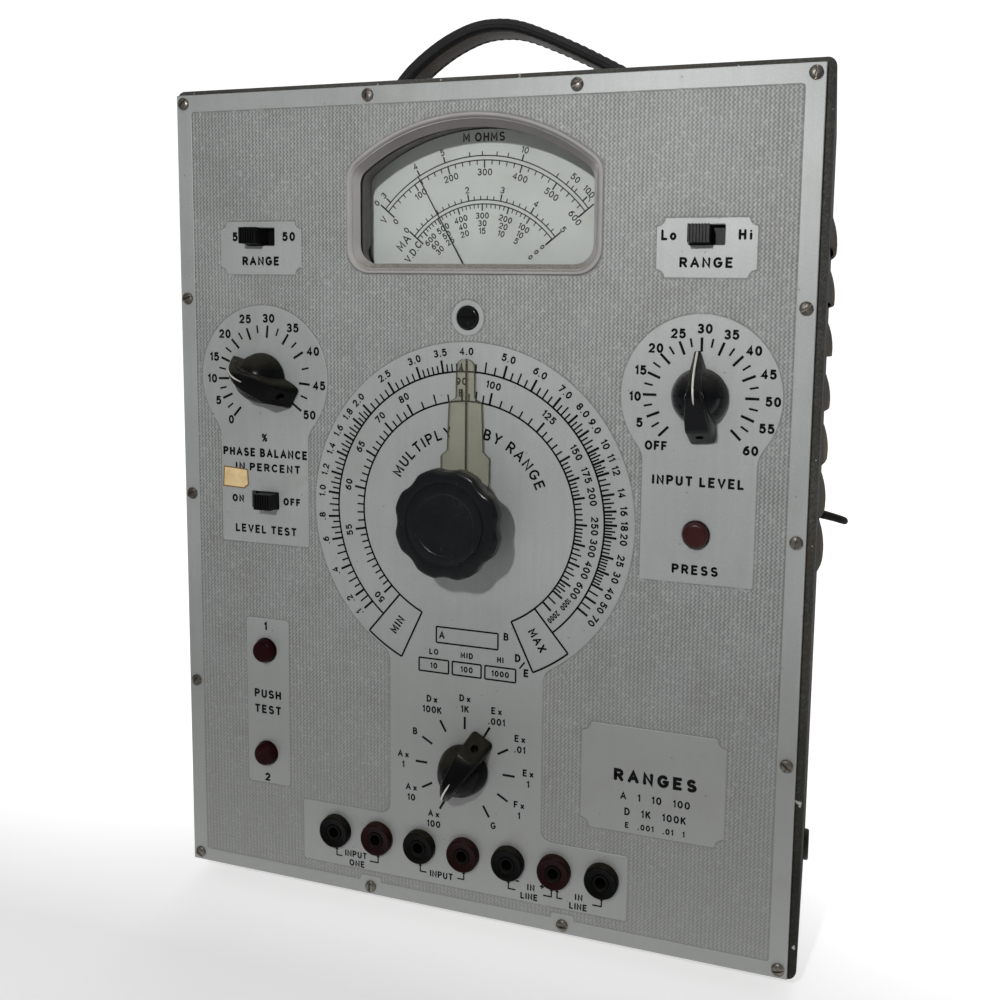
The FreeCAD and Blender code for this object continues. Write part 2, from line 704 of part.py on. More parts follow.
# ---------------------------------------------------------------------- meter
mb = body("meter_bezel")
s = sketch(mb, 0)
sk_fan(s, 0)
sk_fan(s, mt_band)
pad(mb, s, mt_out)
s = sketch(mb, panel_t + 0.4)
sk_fan(s, mt_band - 1.9)
sk_fan(s, mt_band)
pad(mb, s, panel_t + 0.4)
node("meter_bezel", mb)
mg = body("meter_glass")
s = sketch(mg, panel_t + 2.0)
sk_fan(s, mt_band - 2.2)
pad(mg, s, 1.6)
node("meter_glass", mg)
card = body("meter_dial_card")
s = sketch(card, mt_card + 0.8)
sk_fan(s, 2.0)
pad(card, s, 0.8)
node("meter_dial_card", card)
case = cut(
    box(mt_hw * 2 + 5, mt_d - panel_t - 2.2, 82.3, -mt_hw - 2.5, panel_t + 2.2, 213.5),
    box(mt_hw * 2, mt_d - panel_t - 2.2 - 1.5, 77.5, -mt_hw, panel_t + 2.2, 216.0),
)
lip = cut(box(mt_hw * 2 + 5, 2.2, 82.3, -mt_hw - 2.5, panel_t, 213.5), box(mt_hw * 2 - 2, 4, 78, -mt_hw + 1, panel_t - 1, 215.5))
tab = cut(box(20, 1.5, 15, -10, panel_t + 2.2, 214.5), cyl(1.2 + run_c, 6, 0, panel_t, za_z))
case = fuse(case, lip, tab)
post_l = box(4, mt_d - mt_card - 2.3, 8, -mt_hw, mt_card + 0.8, 252)
post_r = box(4, mt_d - mt_card - 2.3, 8, mt_hw - 4, mt_card + 0.8, 252)
node("meter_case", fuse(case, post_l, post_r))
mag = cut(
    cyl(15.5, 16, 0, 20, mt_piv + 1.5),
    cyl(8.2, 20, 0, 18, mt_piv),
    box(9, 20, 14, -4.5, 18, mt_piv - 18),
)
bridge = cut(box(28, 1.6, 5, -14, 14.6, mt_piv - 2.5), cyl(0.9 + run_c, 6, 0, 12, mt_piv))
mag = fuse(
    mag,
    box(24, mt_d - 36 - 1.5, 12, -12, 36, mt_piv + 2),
    bridge,
    box(3, 7, 5, -14, 14.6, mt_piv - 2.5),
    box(3, 7, 5, 11, 14.6, mt_piv - 2.5),
)
node("meter_magnet", common(mag, box(60, 60, 33, -30, 0, 216.0)))
# moving part of the meter: pointer with its hub, and the coil behind it
MA = 30.0
pt = body("meter_pointer")
s = sketch(pt, 11.6)
sk_path(s, [(-0.55, -9.0), (0.55, -9.0), (0.55, 6.0), (0.16, mt_len), (-0.16, mt_len), (-0.55, 6.0)])
pad(pt, s, 0.5)
s = sketch(pt, 14.0)
sk_circle(s, 0, 0, 2.2)
pad(pt, s, 3.2)
s = sketch(pt, 17.0)
sk_circle(s, 0, 0, 0.9)
pad(pt, s, 4.0)
node("meter_pointer", pt, ROT(V3(0, -1, 0), MA), 0, 0, mt_piv)
co = cut(cyl(7.2, 18, 0, 17.0, 0), box(20, 12, 8, -10, 20.0, -4))
node("meter_coil", co, ROT(V3(0, -1, 0), MA), 0, 0, mt_piv)
za = fillet(cyl(za_r, 2.0, 0, -0.9, za_z), 0.6, lambda e: len(e.Vertexes) == 1 and e.CenterOfMass.y < -0.8)
za = cut(za, box(za_r * 2 + 1, 0.8, 0.9, -za_r - 0.5, -1.0, za_z - 0.45))
za = fuse(za, cyl(1.2, 7.0, 0, 1.0, za_z), cyl(5.2, 1.5, 0, panel_t + 0.3, za_z))
node("zero_adjuster", za)

# ------------------------------------------------------------ rotary controls


def control(name, x, z, r, length):
    """Body, threaded bushing and blind bore of a rotary control."""
    b = fuse(
        fillet(cyl(r, length, x, panel_t, z), 1.2, lambda e: len(e.Vertexes) == 1 and e.CenterOfMass.y > 5),
        cyl(bush_r, panel_t + bush_out, x, -bush_out, z),
        box(12, 2.0, 9, x - 6, panel_t + 5, z - r - 6),
    )
    return node(name, cut(b, cyl(shaft_r + run_c, bush_out + panel_t + length - 3, x, -bush_out, z)))


control("main_potentiometer", D.of(0), main_z, mpot_r, mpot_l)
control("factor_potentiometer", -ctl_x, ctl_z, pot_r, pot_l)
control("gain_potentiometer", ctl_x, ctl_z, pot_r, pot_l)
ys = panel_t + ch_t
sel = [
    cyl(bush_r, ys + bush_out, 0, -bush_out, sel_z),
    box(34, 1.6, 22, -17, ys, sel_z - 11),
    cyl(sel_r, 1.8, 0, ys + 12, sel_z),
    cyl(sel_r, 1.8, 0, ys + 26, sel_z),
    box(34, 1.2, 10, -17, ys + sel_l - 1.2, sel_z - 5),
    cyl(1.6, sel_l, -14, ys, sel_z),
    cyl(1.6, sel_l, 14, ys, sel_z),
]
node("selector_switch", cut(fuse(*sel), cyl(shaft_r + run_c, sel_l + 12, 0, -bush_out - 1, sel_z)))
nut = cut(hexa(nut_af, nut_h, 0, -nut_h, main_z), cyl(bush_r, nut_h + 2, 0, -nut_h - 1, main_z))
copies("control_nuts", nut, [(0, 0, 0), (-ctl_x, 0, ctl_z - main_z), (ctl_x, 0, ctl_z - main_z), (0, 0, sel_z - main_z)])

# main knob, its shaft and the transparent cursor
kb = body("main_knob")
s = sketch(kb, -mk_back)
sk_circle(s, 0, 0, mk_hub)
pad(kb, s, mk_front - mk_back)
s = sketch(kb, -mk_front + mk_rim)
sk_circle(s, 0, 0, mk_r)
pad(kb, s, mk_rim)
s = sketch(kb, -mk_front - 1)
sk_circle(s, 0, mk_flute_p, mk_flute_r)
doc.recompute()
pk = pocket(kb, s, mk_rim + 2)
pol = kb.newObject("PartDesign::PolarPattern", "Flutes")
pol.Originals = [pk]
pol.Axis = (plane(kb, "Y_Axis"), [""])
pol.Angle = 360
pol.Occurrences = 8
kb.Tip = pol
doc.recompute()
s = sketch(kb, -mk_front - 0.5)
sk_circle(s, 0, 0, 14.6)
sk_circle(s, 0, 0, 13.2)
pocket(kb, s, 1.2)
s = sketch(kb, -mk_front + 5.0)
sk_circle(s, 0, 0, shaft_r)
doc.recompute()
pocket(kb, s, mk_front)
radial_hole(kb, -7.6, set_r)
node("main_knob", kb, None, 0, 0, main_z)
sh = cyl(shaft_r, panel_t + mpot_l - 3.4 + mk_front - 5, 0, -(mk_front - 5), main_z)
node("main_shaft", cut(sh, box(8, 8, 3, -4, -(mk_front - 5) - 0.5, main_z - shaft_r - 2.4)))
ss = cut(cyl(set_r, 9.0, 0, -7.6, main_z - shaft_r + 0.6 - 9.0, "z"), box(0.5, 4, 0.7, -0.25, -9.6, main_z - shaft_r + 0.6 - 9.2))
node("main_set_screw", ss)
cb = body("main_cursor")
s = sketch(cb, -cur_back)
a1, a2, a3 = cur_w1 / 2, cur_w2 / 2, cur_w3 / 2
sk_path(s, [
    (-a3, -11.0), (a3, -11.0), (a3, cur_r2), (a2, cur_r2 + 2.0), (a2, cur_r1 - 1.0), (a1, cur_r1 + 1.0),
    (a1, cur_r - 2.2), (a1 * 0.72, cur_r - 0.8), (a1 * 0.3, cur_r), (-(a1 * 0.3), cur_r), (-(a1 * 0.72), cur_r - 0.8),
    (-a1, cur_r - 2.2), (-a1, cur_r1 + 1.0), (-a2, cur_r1 - 1.0), (-a2, cur_r2 + 2.0), (-a3, cur_r2),
])
sk_circle(s, 0, 0, shaft_r)
pad(cb, s, cur_t)
node("main_cursor", cb, None, 0, 0, main_z)

# pointer knobs


def pointer_knob(name, x, z, angle, length):
    """A round skirt with a tapered pointer bar; drawn pointing up, then turned."""
    rot = ROT(V3(0, -1, 0), angle - 90.0)
    b = body(name + "_knob")
    s = sketch(b, -knob_gap)
    sk_circle(s, 0, 0, knob_skirt_r)
    pad(b, s, 9.0, False, -14.0)
    s = sketch(b, -knob_gap)
    hw = knob_bar_w / 2
    sk_path(s, [(-hw, -knob_tail), (hw, -knob_tail), (hw, 4.0), (1.1, knob_tip), (-1.1, knob_tip), (-hw, 4.0)])
    pad(b, s, knob_h - knob_gap, False, -7.0)
    s = sketch(b, -knob_gap - knob_cav_h)
    sk_circle(s, 0, 0, knob_cav_r)
    doc.recompute()
    pocket(b, s, knob_cav_h + 2)
    s = sketch(b, -12.0)
    sk_circle(s, 0, 0, shaft_r)
    doc.recompute()
    pocket(b, s, 14.0)
    radial_hole(b, -8.0, set_r)
    node(name + "_knob", b, rot, x, 0, z)
    ss = cut(cyl(set_r, 4.2, 0, -8.0, -shaft_r + 0.6 - 4.2, "z"), box(0.5, 4, 0.7, -0.25, -10.0, -shaft_r + 0.6 - 4.4))
    node(name + "_set_screw", ss, rot, x, 0, z)
    sh = cut(cyl(shaft_r, length, 0, -12.0, 0), box(8, 8, 3, -4, -12.5, -shaft_r - 2.4))
    node(name + "_shaft", sh, rot, x, 0, z)
    return b


for nm, cx, cz, ang, ln in (
    ("factor", -ctl_x, ctl_z, 157.0, panel_t + pot_l - 3.4 + 12),
    ("gain", ctl_x, ctl_z, 92.0, panel_t + pot_l - 3.4 + 12),
    ("selector", D.of(0), sel_z, 240.0, ys + sel_l + 12),
):
    pointer_knob(nm, cx, cz, ang, ln)

# -------------------------------------------------------------- slide switches
swb = []
for nm, cx, cz, sg in (
    ("current_slider", -sw_x, sw_z, -1),
    ("volts_slider", sw_x, sw_z, -1),
    ("check_slider", -swc_x, swc_z, 1),
):
    sx = cx + sl_off * sg
    ribs = [box(0.45, 0.9, sl_h + 1, sx - sl_w / 2 + 0.75 + 1.05 * i, -sl_out - 0.3, cz - sl_h / 2 - 0.5) for i in range(6)]
    up_ = cut(box(sl_w, sl_out + panel_t + 0.6, sl_h, sx - sl_w / 2, -sl_out, cz - sl_h / 2), *ribs)
    node(nm, fuse(up_, box(17.0, 1.4, 9.0, sx - 8.5, panel_t + 0.4, cz - 4.5)))
    house = cut(
        box(30, 11, 15, cx - 15, panel_t, cz - 7.5),
        box(24, 2.2, 9.8, cx - 12, panel_t - 0.01, cz - 4.9),
    )
    lugs = [box(1.2, 5, 3.0, cx - 8.6 + 8.0 * i, panel_t + 10.8, cz - 1.5) for i in range(3)]
    swb.append(fuse(house, *lugs))
node("slide_switch_bodies", group(*swb))

# ---------------------------------------------------------------- push buttons
bh = []
for nm, cx, cz in (("volts_button", bv_x, bv_z), ("short_button_upper", -bs_x, bs_z1), ("short_button_lower", -bs_x, bs_z2)):
    cap = fillet(cyl(btn_r, btn_out + panel_t + 0.8, cx, -btn_out, cz), 1.3,
                 lambda e: len(e.Vertexes) == 1 and e.CenterOfMass.y < -1)
    node(nm, fuse(cap, cyl(5.6, 1.2, cx, panel_t + 0.4, cz), cyl(1.5, 7.0, cx, panel_t + 1.5, cz)))
    h = cut(
        cyl(8.0, 16, cx, panel_t, cz),
        cyl(6.0, 6.0, cx, panel_t - 0.01, cz),
        cyl(1.9, 10.0, cx, panel_t + 3, cz),
    )
    lug = [box(1.0, 5.0, 3.0, cx + dx - 0.5, panel_t + 15.5, cz - 1.5) for dx in (-4, 4)]
    bh.append(fuse(h, *lug))
node("button_housings", group(*bh))

# ----------------------------------------------------------------------- jacks
x0 = jack_p * -3


def jack_shell(x):
    h = fillet(cyl(jack_r, jack_out, x, -jack_out, jack_z), 0.9,
               lambda e: len(e.Vertexes) == 1 and e.CenterOfMass.y < -1)
    h = cut(h, cyl(4.6, 1.2, x, -jack_out - 0.2, jack_z))
    h = fuse(h, cyl(jack_sh, jack_l, x, 0, jack_z))
    return cut(h, cyl(con_r, jack_l + jack_out + 2, x, -jack_out - 1, jack_z))


jb = jack_shell(x0)
copies("jack_shells_black", jb, [(jack_p * i, 0, 0) for i in (0, 2, 4, 6)])
jr = jack_shell(x0)
copies("jack_shells_red", jr, [(jack_p * i, 0, 0) for i in (1, 3, 5)])
ct = cut(
    fuse(cyl(con_r, con_l + 1.6, x0, -jack_out + 1.0, jack_z), box(1.2, 6.0, 4.0, x0 - 0.6, con_l - jack_out + 2.4, jack_z - 2)),
    cyl(con_b, con_l, x0, -jack_out + 1.0, jack_z),
)
copies("jack_contacts", ct, [(jack_p * i, 0, 0) for i in range(7)])
jn = cut(hexa(10.0, 3.0, x0, panel_t, jack_z), cyl(jack_sh, 6, x0, panel_t - 1, jack_z))
copies("jack_nuts", jn, [(jack_p * i, 0, 0) for i in range(7)])

# --------------------------------------------------------- chassis and circuit
chb = body("chassis")
s = sketch(chb, panel_t + ch_t)
sk_rect(s, -24, sel_z - 16, 48, ch_z - sel_z + 16)
pad(chb, s, ch_t)
s = sketch(chb, panel_t + ch_d)
sk_rect(s, -ch_w / 2, ch_z, ch_w, ch_t)
pad(chb, s, ch_d)
s = sketch(chb, panel_t + ch_d)
sk_rect(s, -ch_w / 2, ch_z - 12, ch_w, 12)
pad(chb, s, ch_t)
s = sketch(chb, panel_t - 0.5)
sk_circle(s, 0, sel_z, bush_hole)
doc.recompute()
pocket(chb, s, 4)
node("chassis", chb)
zc = ch_z + ch_t
tx, ty = -72.0, 48.0
core = cut(
    box(58, 24, 50, tx - 29, ty - 12, zc),
    box(9.6, 30, 30, tx - 19.4, ty - 15, zc + 10),
    box(9.6, 30, 30, tx + 9.8, ty - 15, zc + 10),
)
feet_t = fuse(box(14, 40, 1.5, tx - 29, ty - 20, zc), box(14, 40, 1.5, tx + 15, ty - 20, zc))
node("transformer_core", fuse(core, feet_t))
coil = cut(box(38.8, 43, 30, tx - 19.4, ty - 21.5, zc + 10), box(19.6, 24.4, 40, tx - 9.8, ty - 12.2, zc + 5))
node("transformer_coil", coil)
tubes_at = [(56.0, 52.0), (89.0, 52.0)]
sock = cut(cyl(15.5, 5.0, tubes_at[0][0], tubes_at[0][1], zc, "z"), cyl(11.0, 3.0, tubes_at[0][0], tubes_at[0][1], zc + 3.2, "z"))
copies("tube_sockets", sock, [(a - tubes_at[0][0], b - tubes_at[0][1], 0) for a, b in tubes_at])


def tube(name, x, y, bulb_r, bulb_h):
    base = cyl(10.8, 14, x, y, zc + 3.2, "z")
    base2 = cyl(15.0, 11, x, y, zc + 6.0, "z")
    glass = fillet(cyl(bulb_r, bulb_h, x, y, zc + 17.0, "z"), bulb_r * 0.55,
                   lambda e: len(e.Vertexes) == 1 and e.CenterOfMass.z > zc.v + 30)
    node(name, fuse(base, base2, glass))


tube("rectifier_tube", tubes_at[0][0], tubes_at[0][1], 14.0, 52.0)
tube("detector_tube", tubes_at[1][0], tubes_at[1][1], 14.0, 58.0)
fc = fillet(cyl(15.0, 52, 6.0, 60.0, zc, "z"), 1.5, lambda e: len(e.Vertexes) == 1 and e.CenterOfMass.z > zc.v + 30)
node("filter_capacitor", fc)
caps = [fillet(cyl(6.0, 38, -80.0, 26.0 + 16 * i, ch_z - 6.0, "x"), 1.0, lambda e: len(e.Vertexes) == 1) for i in range(3)]
node("paper_capacitors", group(*caps))
brd = box(70, 1.6, 30, 32, 44, ch_z - 34)
lug = [box(4, 20, 1.2, 36 + 54 * i, 44, ch_z - 4.2) for i in range(2)]
stand = [box(4, 1.2, 4.2, 36 + 54 * i, 62.8, ch_z - 4.2) for i in range(2)]
node("resistor_board", fuse(brd, *(lug + stand)))
res = [fillet(cyl(2.2, 16, 40 + 10.5 * i, 41.8, ch_z - 29, "z"), 0.6, lambda e: len(e.Vertexes) == 1) for i in range(6)]
node("resistors", group(*res))

# --------------------------------------------------------------------- finish
doc.recompute()
bad = []
for o in doc.Objects:
    if "Invalid" in o.State or "Error" in o.State:
        bad.append((o.Name, o.Label, o.State))
for nm, o in nodes.items():
    sh = o.Shape
    if sh.isNull() or not sh.isValid() or not sh.Solids:
        bad.append((nm, "shape", sh.isNull()))
if bad:
    raise RuntimeError("failed objects: %r" % bad)
if len(nodes) > 60:
    raise RuntimeError("too many nodes: %d" % len(nodes))
box_all = FreeCAD.BoundBox()
for nm, o in nodes.items():
    box_all.add(o.Shape.optimalBoundingBox(False, False))
    o.Shape.exportStep("parts/%s.step" % nm)
print("nodes", len(nodes))
print("box", [round(v, 3) for v in (box_all.XMin, box_all.XMax, box_all.YMin, box_all.YMax, box_all.ZMin, box_all.ZMax)])
for nm, o in nodes.items():
    b = o.Shape.optimalBoundingBox(False, False)
    print("%-24s solids %2d vol %10.1f  x %7.2f %7.2f  y %7.2f %7.2f  z %7.2f %7.2f" % (
        nm, len(o.Shape.Solids), o.Shape.Volume, b.XMin, b.XMax, b.YMin, b.YMax, b.ZMin, b.ZMax))
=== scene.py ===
import math
import random

import bpy
import bmesh
import numpy as np
from mathutils import Matrix, Vector
from mathutils.geometry import delaunay_2d_cdt


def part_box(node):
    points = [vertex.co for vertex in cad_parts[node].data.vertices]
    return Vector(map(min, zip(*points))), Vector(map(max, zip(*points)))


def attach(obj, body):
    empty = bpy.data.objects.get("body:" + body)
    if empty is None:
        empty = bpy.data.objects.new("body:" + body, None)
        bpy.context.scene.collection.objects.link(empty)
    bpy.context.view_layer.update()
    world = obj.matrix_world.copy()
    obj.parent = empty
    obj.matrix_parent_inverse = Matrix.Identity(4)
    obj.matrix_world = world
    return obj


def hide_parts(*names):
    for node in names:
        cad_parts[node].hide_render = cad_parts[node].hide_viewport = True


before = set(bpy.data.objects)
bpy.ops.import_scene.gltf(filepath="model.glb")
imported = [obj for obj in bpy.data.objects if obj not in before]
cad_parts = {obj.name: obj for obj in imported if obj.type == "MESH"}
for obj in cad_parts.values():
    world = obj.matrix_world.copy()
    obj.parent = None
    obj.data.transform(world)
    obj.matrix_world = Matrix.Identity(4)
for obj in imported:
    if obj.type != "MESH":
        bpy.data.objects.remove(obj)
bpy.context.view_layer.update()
scene = bpy.context.scene
RND = random.Random(7)

# Shapes are drawn in the panel's own frame, in millimetres: x right from the
# panel's centre line, y back from its front face, z up from its bottom edge.
OFF = np.array([-4.4518, -37.15, 9.0])
HALF, TALL = 120.65, 304.8
PI = math.pi


def row(v):
    return (np.asarray(v, float).reshape(-1, 3) + OFF) / 1000.0


def rgb(r, g, b):
    """A colour given as 0-255 display values."""
    def one(c):
        c /= 255.0
        return c / 12.92 if c <= 0.04045 else ((c + 0.055) / 1.055) ** 2.4
    return (one(r), one(g), one(b), 1.0)


# ------------------------------------------------------------------ materials
class Shader:
    """A small helper to write procedural materials."""

    def __init__(self, name):
        self.m = bpy.data.materials.new(name)
        self.m.use_nodes = True
        self.t = self.m.node_tree
        self.t.nodes.clear()
        self.out = self.new("ShaderNodeOutputMaterial")
        self.b = self.new("ShaderNodeBsdfPrincipled")
        self.link(self.b.outputs[0], self.out.inputs[0])
        self.co = self.new("ShaderNodeTexCoord").outputs["Object"]
        self.height = None

    def new(self, kind):
        return self.t.nodes.new(kind)

    def link(self, a, b):
        self.t.links.new(a, b)

    def noise(self, scale, detail=3.0, rough=0.55, stretch=None, shift=None, distort=0.0):
        n = self.new("ShaderNodeTexNoise")
        n.inputs["Scale"].default_value = scale
        n.inputs["Detail"].default_value = detail
        n.inputs["Roughness"].default_value = rough
        n.inputs["Distortion"].default_value = distort
        self.link(self.place(stretch, shift), n.inputs["Vector"])
        return n.outputs[0]

    def place(self, stretch=None, shift=None, turn=None):
        if stretch is None and shift is None and turn is None:
            return self.co
        m = self.new("ShaderNodeMapping")
        if stretch:
            m.inputs["Scale"].default_value = stretch
        if shift:
            m.inputs["Location"].default_value = shift
        if turn:
            m.inputs["Rotation"].default_value = turn
        self.link(self.co, m.inputs["Vector"])
        return m.outputs[0]

    def cells(self, scale, kind="F1", out="Distance", stretch=None):
        n = self.new("ShaderNodeTexVoronoi")
        n.feature = kind
        n.inputs["Scale"].default_value = scale
        self.link(self.place(stretch), n.inputs["Vector"])
        return n.outputs[out]

    def ramp(self, fac, stops, ease="LINEAR"):
        r = self.new("ShaderNodeValToRGB")
        r.color_ramp.interpolation = ease
        e = r.color_ramp.elements
        while len(e) < len(stops):
            e.new(0.5)
        for el, (p, c) in zip(e, stops):
            el.position = p
            el.color = c if len(c) == 4 else (*c, 1.0)
        self.link(fac, r.inputs[0])
        return r.outputs[0]

    def grey(self, fac, p0, v0, p1, v1):
        """fac mapped to a number: v0 at p0, v1 at p1."""
        m = self.new("ShaderNodeMapRange")
        m.clamp = True
        m.inputs[1].default_value, m.inputs[2].default_value = p0, p1
        m.inputs[3].default_value, m.inputs[4].default_value = v0, v1
        self.link(fac, m.inputs[0])
        return m.outputs[0]

    def over(self, fac, a, b, mode="MIX"):
        """b laid over a where fac is 1."""
        x = self.new("ShaderNodeMix")
        x.data_type = "RGBA"
        x.blend_type = mode
        ia, ib = x.inputs[6], x.inputs[7]
        for s, i in ((fac, x.inputs[0]), (a, ia), (b, ib)):
            if isinstance(s, (tuple, list)):
                i.default_value = s
            elif isinstance(s, float):
                i.default_value = s
            else:
                self.link(s, i)
        return x.outputs[2]

    def math(self, op, a, b):
        x = self.new("ShaderNodeMath")
        x.operation = op
        x.use_clamp = True
        for s, i in ((a, x.inputs[0]), (b, x.inputs[1])):
            if isinstance(s, float):
                i.default_value = s
            else:
                self.link(s, i)
        return x.outputs[0]

    def axis(self, k, lo, hi):
        """0 at lo and 1 at hi along the object's axis k, in metres."""
        s = self.new("ShaderNodeSeparateXYZ")
        self.link(self.co, s.inputs[0])
        return self.grey(s.outputs[k], lo, 0.0, hi, 1.0)

    def up(self, lo=0.0, hi=0.6):
        """1 where the surface looks upwards."""
        g = self.new("ShaderNodeNewGeometry")
        s = self.new("ShaderNodeSeparateXYZ")
        self.link(g.outputs["Normal"], s.inputs[0])
        return self.grey(s.outputs[2], lo, 0.0, hi, 1.0)

    def bump(self, fac, strength, dist):
        n = self.new("ShaderNodeBump")
        n.inputs["Strength"].default_value = strength
        n.inputs["Distance"].default_value = dist
        self.link(fac, n.inputs["Height"])
        if self.height is not None:
            self.link(self.height, n.inputs["Normal"])
        self.height = n.outputs[0]
        self.link(self.height, self.b.inputs["Normal"])

    def put(self, **kw):
        names = {"base": "Base Color", "rough": "Roughness", "metal": "Metallic", "spec": "Specular IOR Level",
                 "coat": "Coat Weight", "coat_rough": "Coat Roughness", "alpha": "Alpha", "ior": "IOR",
                 "sheen": "Sheen Weight", "trans": "Transmission Weight"}
        for k, v in kw.items():
            i = self.b.inputs[names[k]]
            if isinstance(v, (int, float, tuple)):
                i.default_value = v
            else:
                self.link(v, i)
        return self.m


def plain(name, c1, c2, scale, rough=(0.4, 0.55), metal=0.0, grain=900.0, bump=0.08, dist=0.0001,
          dirt=None, dirt_scale=60.0, dirt_amount=0.5, spec=0.5, coat=0.0, speck=None):
    """An everyday surface: colour variation, roughness variation, a fine grain and a dirt layer."""
    s = Shader(name)
    n = s.noise(scale, 4.0, 0.6)
    base = s.ramp(n, [(0.32, c1), (0.68, c2)])
    fine = s.noise(grain, 2.0, 0.6)
    if speck:
        base = s.over(s.grey(fine, 0.60, 0.0, 0.72, 0.7), base, speck)
    if dirt:
        d = s.noise(dirt_scale, 5.0, 0.65, shift=(0.31, 0.17, 0.05))
        base = s.over(s.grey(d, 0.46, 0.0, 0.70, dirt_amount), base, dirt)
    s.bump(fine, bump, dist)
    return s.put(base=base, rough=s.grey(n, 0.3, rough[0], 0.7, rough[1]), metal=metal, spec=spec, coat=coat)


# -------------------------------------------------------------- mesh building
class Geo:
    """Vertices and faces gathered for one piece, in panel millimetres."""

    def __init__(self):
        self.v, self.f, self.m, self.n = [], [], [], 0

    def add(self, v, f, m=0):
        v = np.asarray(v, float).reshape(-1, 3)
        b = self.n
        self.v.append(v)
        self.f += [tuple(i + b for i in q) for q in f]
        self.m += list(m) if isinstance(m, (list, np.ndarray)) else [m] * len(f)
        self.n += len(v)
        return b

    def slab(self, poly, y0, y1, m=0):
        """A flat plate: poly is (x, z), anticlockwise seen from the front; y0 is its front."""
        n = len(poly)
        v = [(x, y0, z) for x, z in poly] + [(x, y1, z) for x, z in poly]
        f = [tuple(range(n)), tuple(range(2 * n - 1, n - 1, -1))]
        f += [(i, n + i, n + (i + 1) % n, (i + 1) % n) for i in range(n)]
        self.add(v, f, m)

    def bar(self, x0, z0, x1, z1, w, y0, y1, m=0):
        """A straight line of width w."""
        dx, dz = x1 - x0, z1 - z0
        ln = math.hypot(dx, dz) or 1.0
        ox, oz = -dz / ln * w / 2, dx / ln * w / 2
        self.slab([(x0 - ox, z0 - oz), (x1 - ox, z1 - oz), (x1 + ox, z1 + oz), (x0 + ox, z0 + oz)], y0, y1, m)

    def arc(self, cx, cz, r, w, a0, a1, y0, y1, m=0, n=None):
        """A curved line of width w, angles in degrees, a0 < a1."""
        n = n or max(4, int(abs(a1 - a0) / 2.0))
        v, f = [], []
        for i in range(n + 1):
            a = math.radians(a0 + (a1 - a0) * i / n)
            for rr, y in ((r - w / 2, y0), (r + w / 2, y0), (r + w / 2, y1), (r - w / 2, y1)):
                v.append((cx + rr * math.cos(a), y, cz + rr * math.sin(a)))
        for i in range(n):
            p, q = 4 * i, 4 * i + 4
            f += [(p, p + 1, q + 1, q), (p + 1, p + 2, q + 2, q + 1), (p + 2, p + 3, q + 3, q + 2), (p + 3, p, q, q + 3)]
        f += [(0, 3, 2, 1), (4 * n, 4 * n + 1, 4 * n + 2, 4 * n + 3)]
        self.add(v, f, m)

    def rings(self, rings, m=0, close=True, cap0=False, cap1=False):
        """A skin through rings of equal length; m may hold one number for each step."""
        k = len(rings[0])
        b = self.n
        f, mm = [], []
        for i in range(len(rings) - 1):
            for j in range(k if close else k - 1):
                j2 = (j + 1) % k
                f.append((i * k + j, i * k + j2, (i + 1) * k + j2, (i + 1) * k + j))
                mm.append(m[i] if isinstance(m, list) else m)
        if cap0:
            f.append(tuple(range(k - 1, -1, -1)))
            mm.append(m[0] if isinstance(m, list) else m)
        if cap1:
            o = (len(rings) - 1) * k
            f.append(tuple(range(o, o + k)))
            mm.append(m[-1] if isinstance(m, list) else m)
        self.add(np.concatenate([np.asarray(r, float) for r in rings]), f, mm)
        return b

    def lathe(self, prof, cx, cz, n=48, m=0, a0=0.0, cap0=False, cap1=False):
        """A turned shape on the y axis through (cx, cz); prof is (radius, y)."""
        ang = [a0 + 2 * PI * i / n for i in range(n)]
        rr = []
        for r, y in prof:
            r = max(r, 1e-4)
            rr.append([(cx + r * math.cos(a), y, cz + r * math.sin(a)) for a in ang])
        return self.rings(rr, m, True, cap0, cap1)


def piece(name, g, mats, body, smooth=None, stands=(), fix=True):
    v = row(np.concatenate(g.v))
    me = bpy.data.meshes.new(name)
    me.from_pydata(v.tolist(), [], g.f)
    for m in mats:
        me.materials.append(m)
    me.polygons.foreach_set("material_index", np.asarray(g.m, np.int32))
    if fix:
        bm = bmesh.new()
        bm.from_mesh(me)
        bmesh.ops.remove_doubles(bm, verts=bm.verts, dist=1e-7)
        bmesh.ops.recalc_face_normals(bm, faces=bm.faces)
        bm.to_mesh(me)
        bm.free()
    if smooth is not None:
        me.polygons.foreach_set("use_smooth", np.ones(len(me.polygons), bool))
        me.set_sharp_from_angle(angle=math.radians(smooth))
    me.update()
    o = bpy.data.objects.new(name, me)
    scene.collection.objects.link(o)
    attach(o, body)
    for n in stands:
        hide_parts(n)
    return o


# ----------------------------------------------------------------- lettering
def bow(cx, cy, rx, ry, a0, a1, n=None):
    n = n or max(3, int(abs(a1 - a0) / 22.0))
    ang = [math.radians(a0 + (a1 - a0) * i / n) for i in range(n + 1)]
    return [(cx + rx * math.cos(a), cy + ry * math.sin(a)) for a in ang]


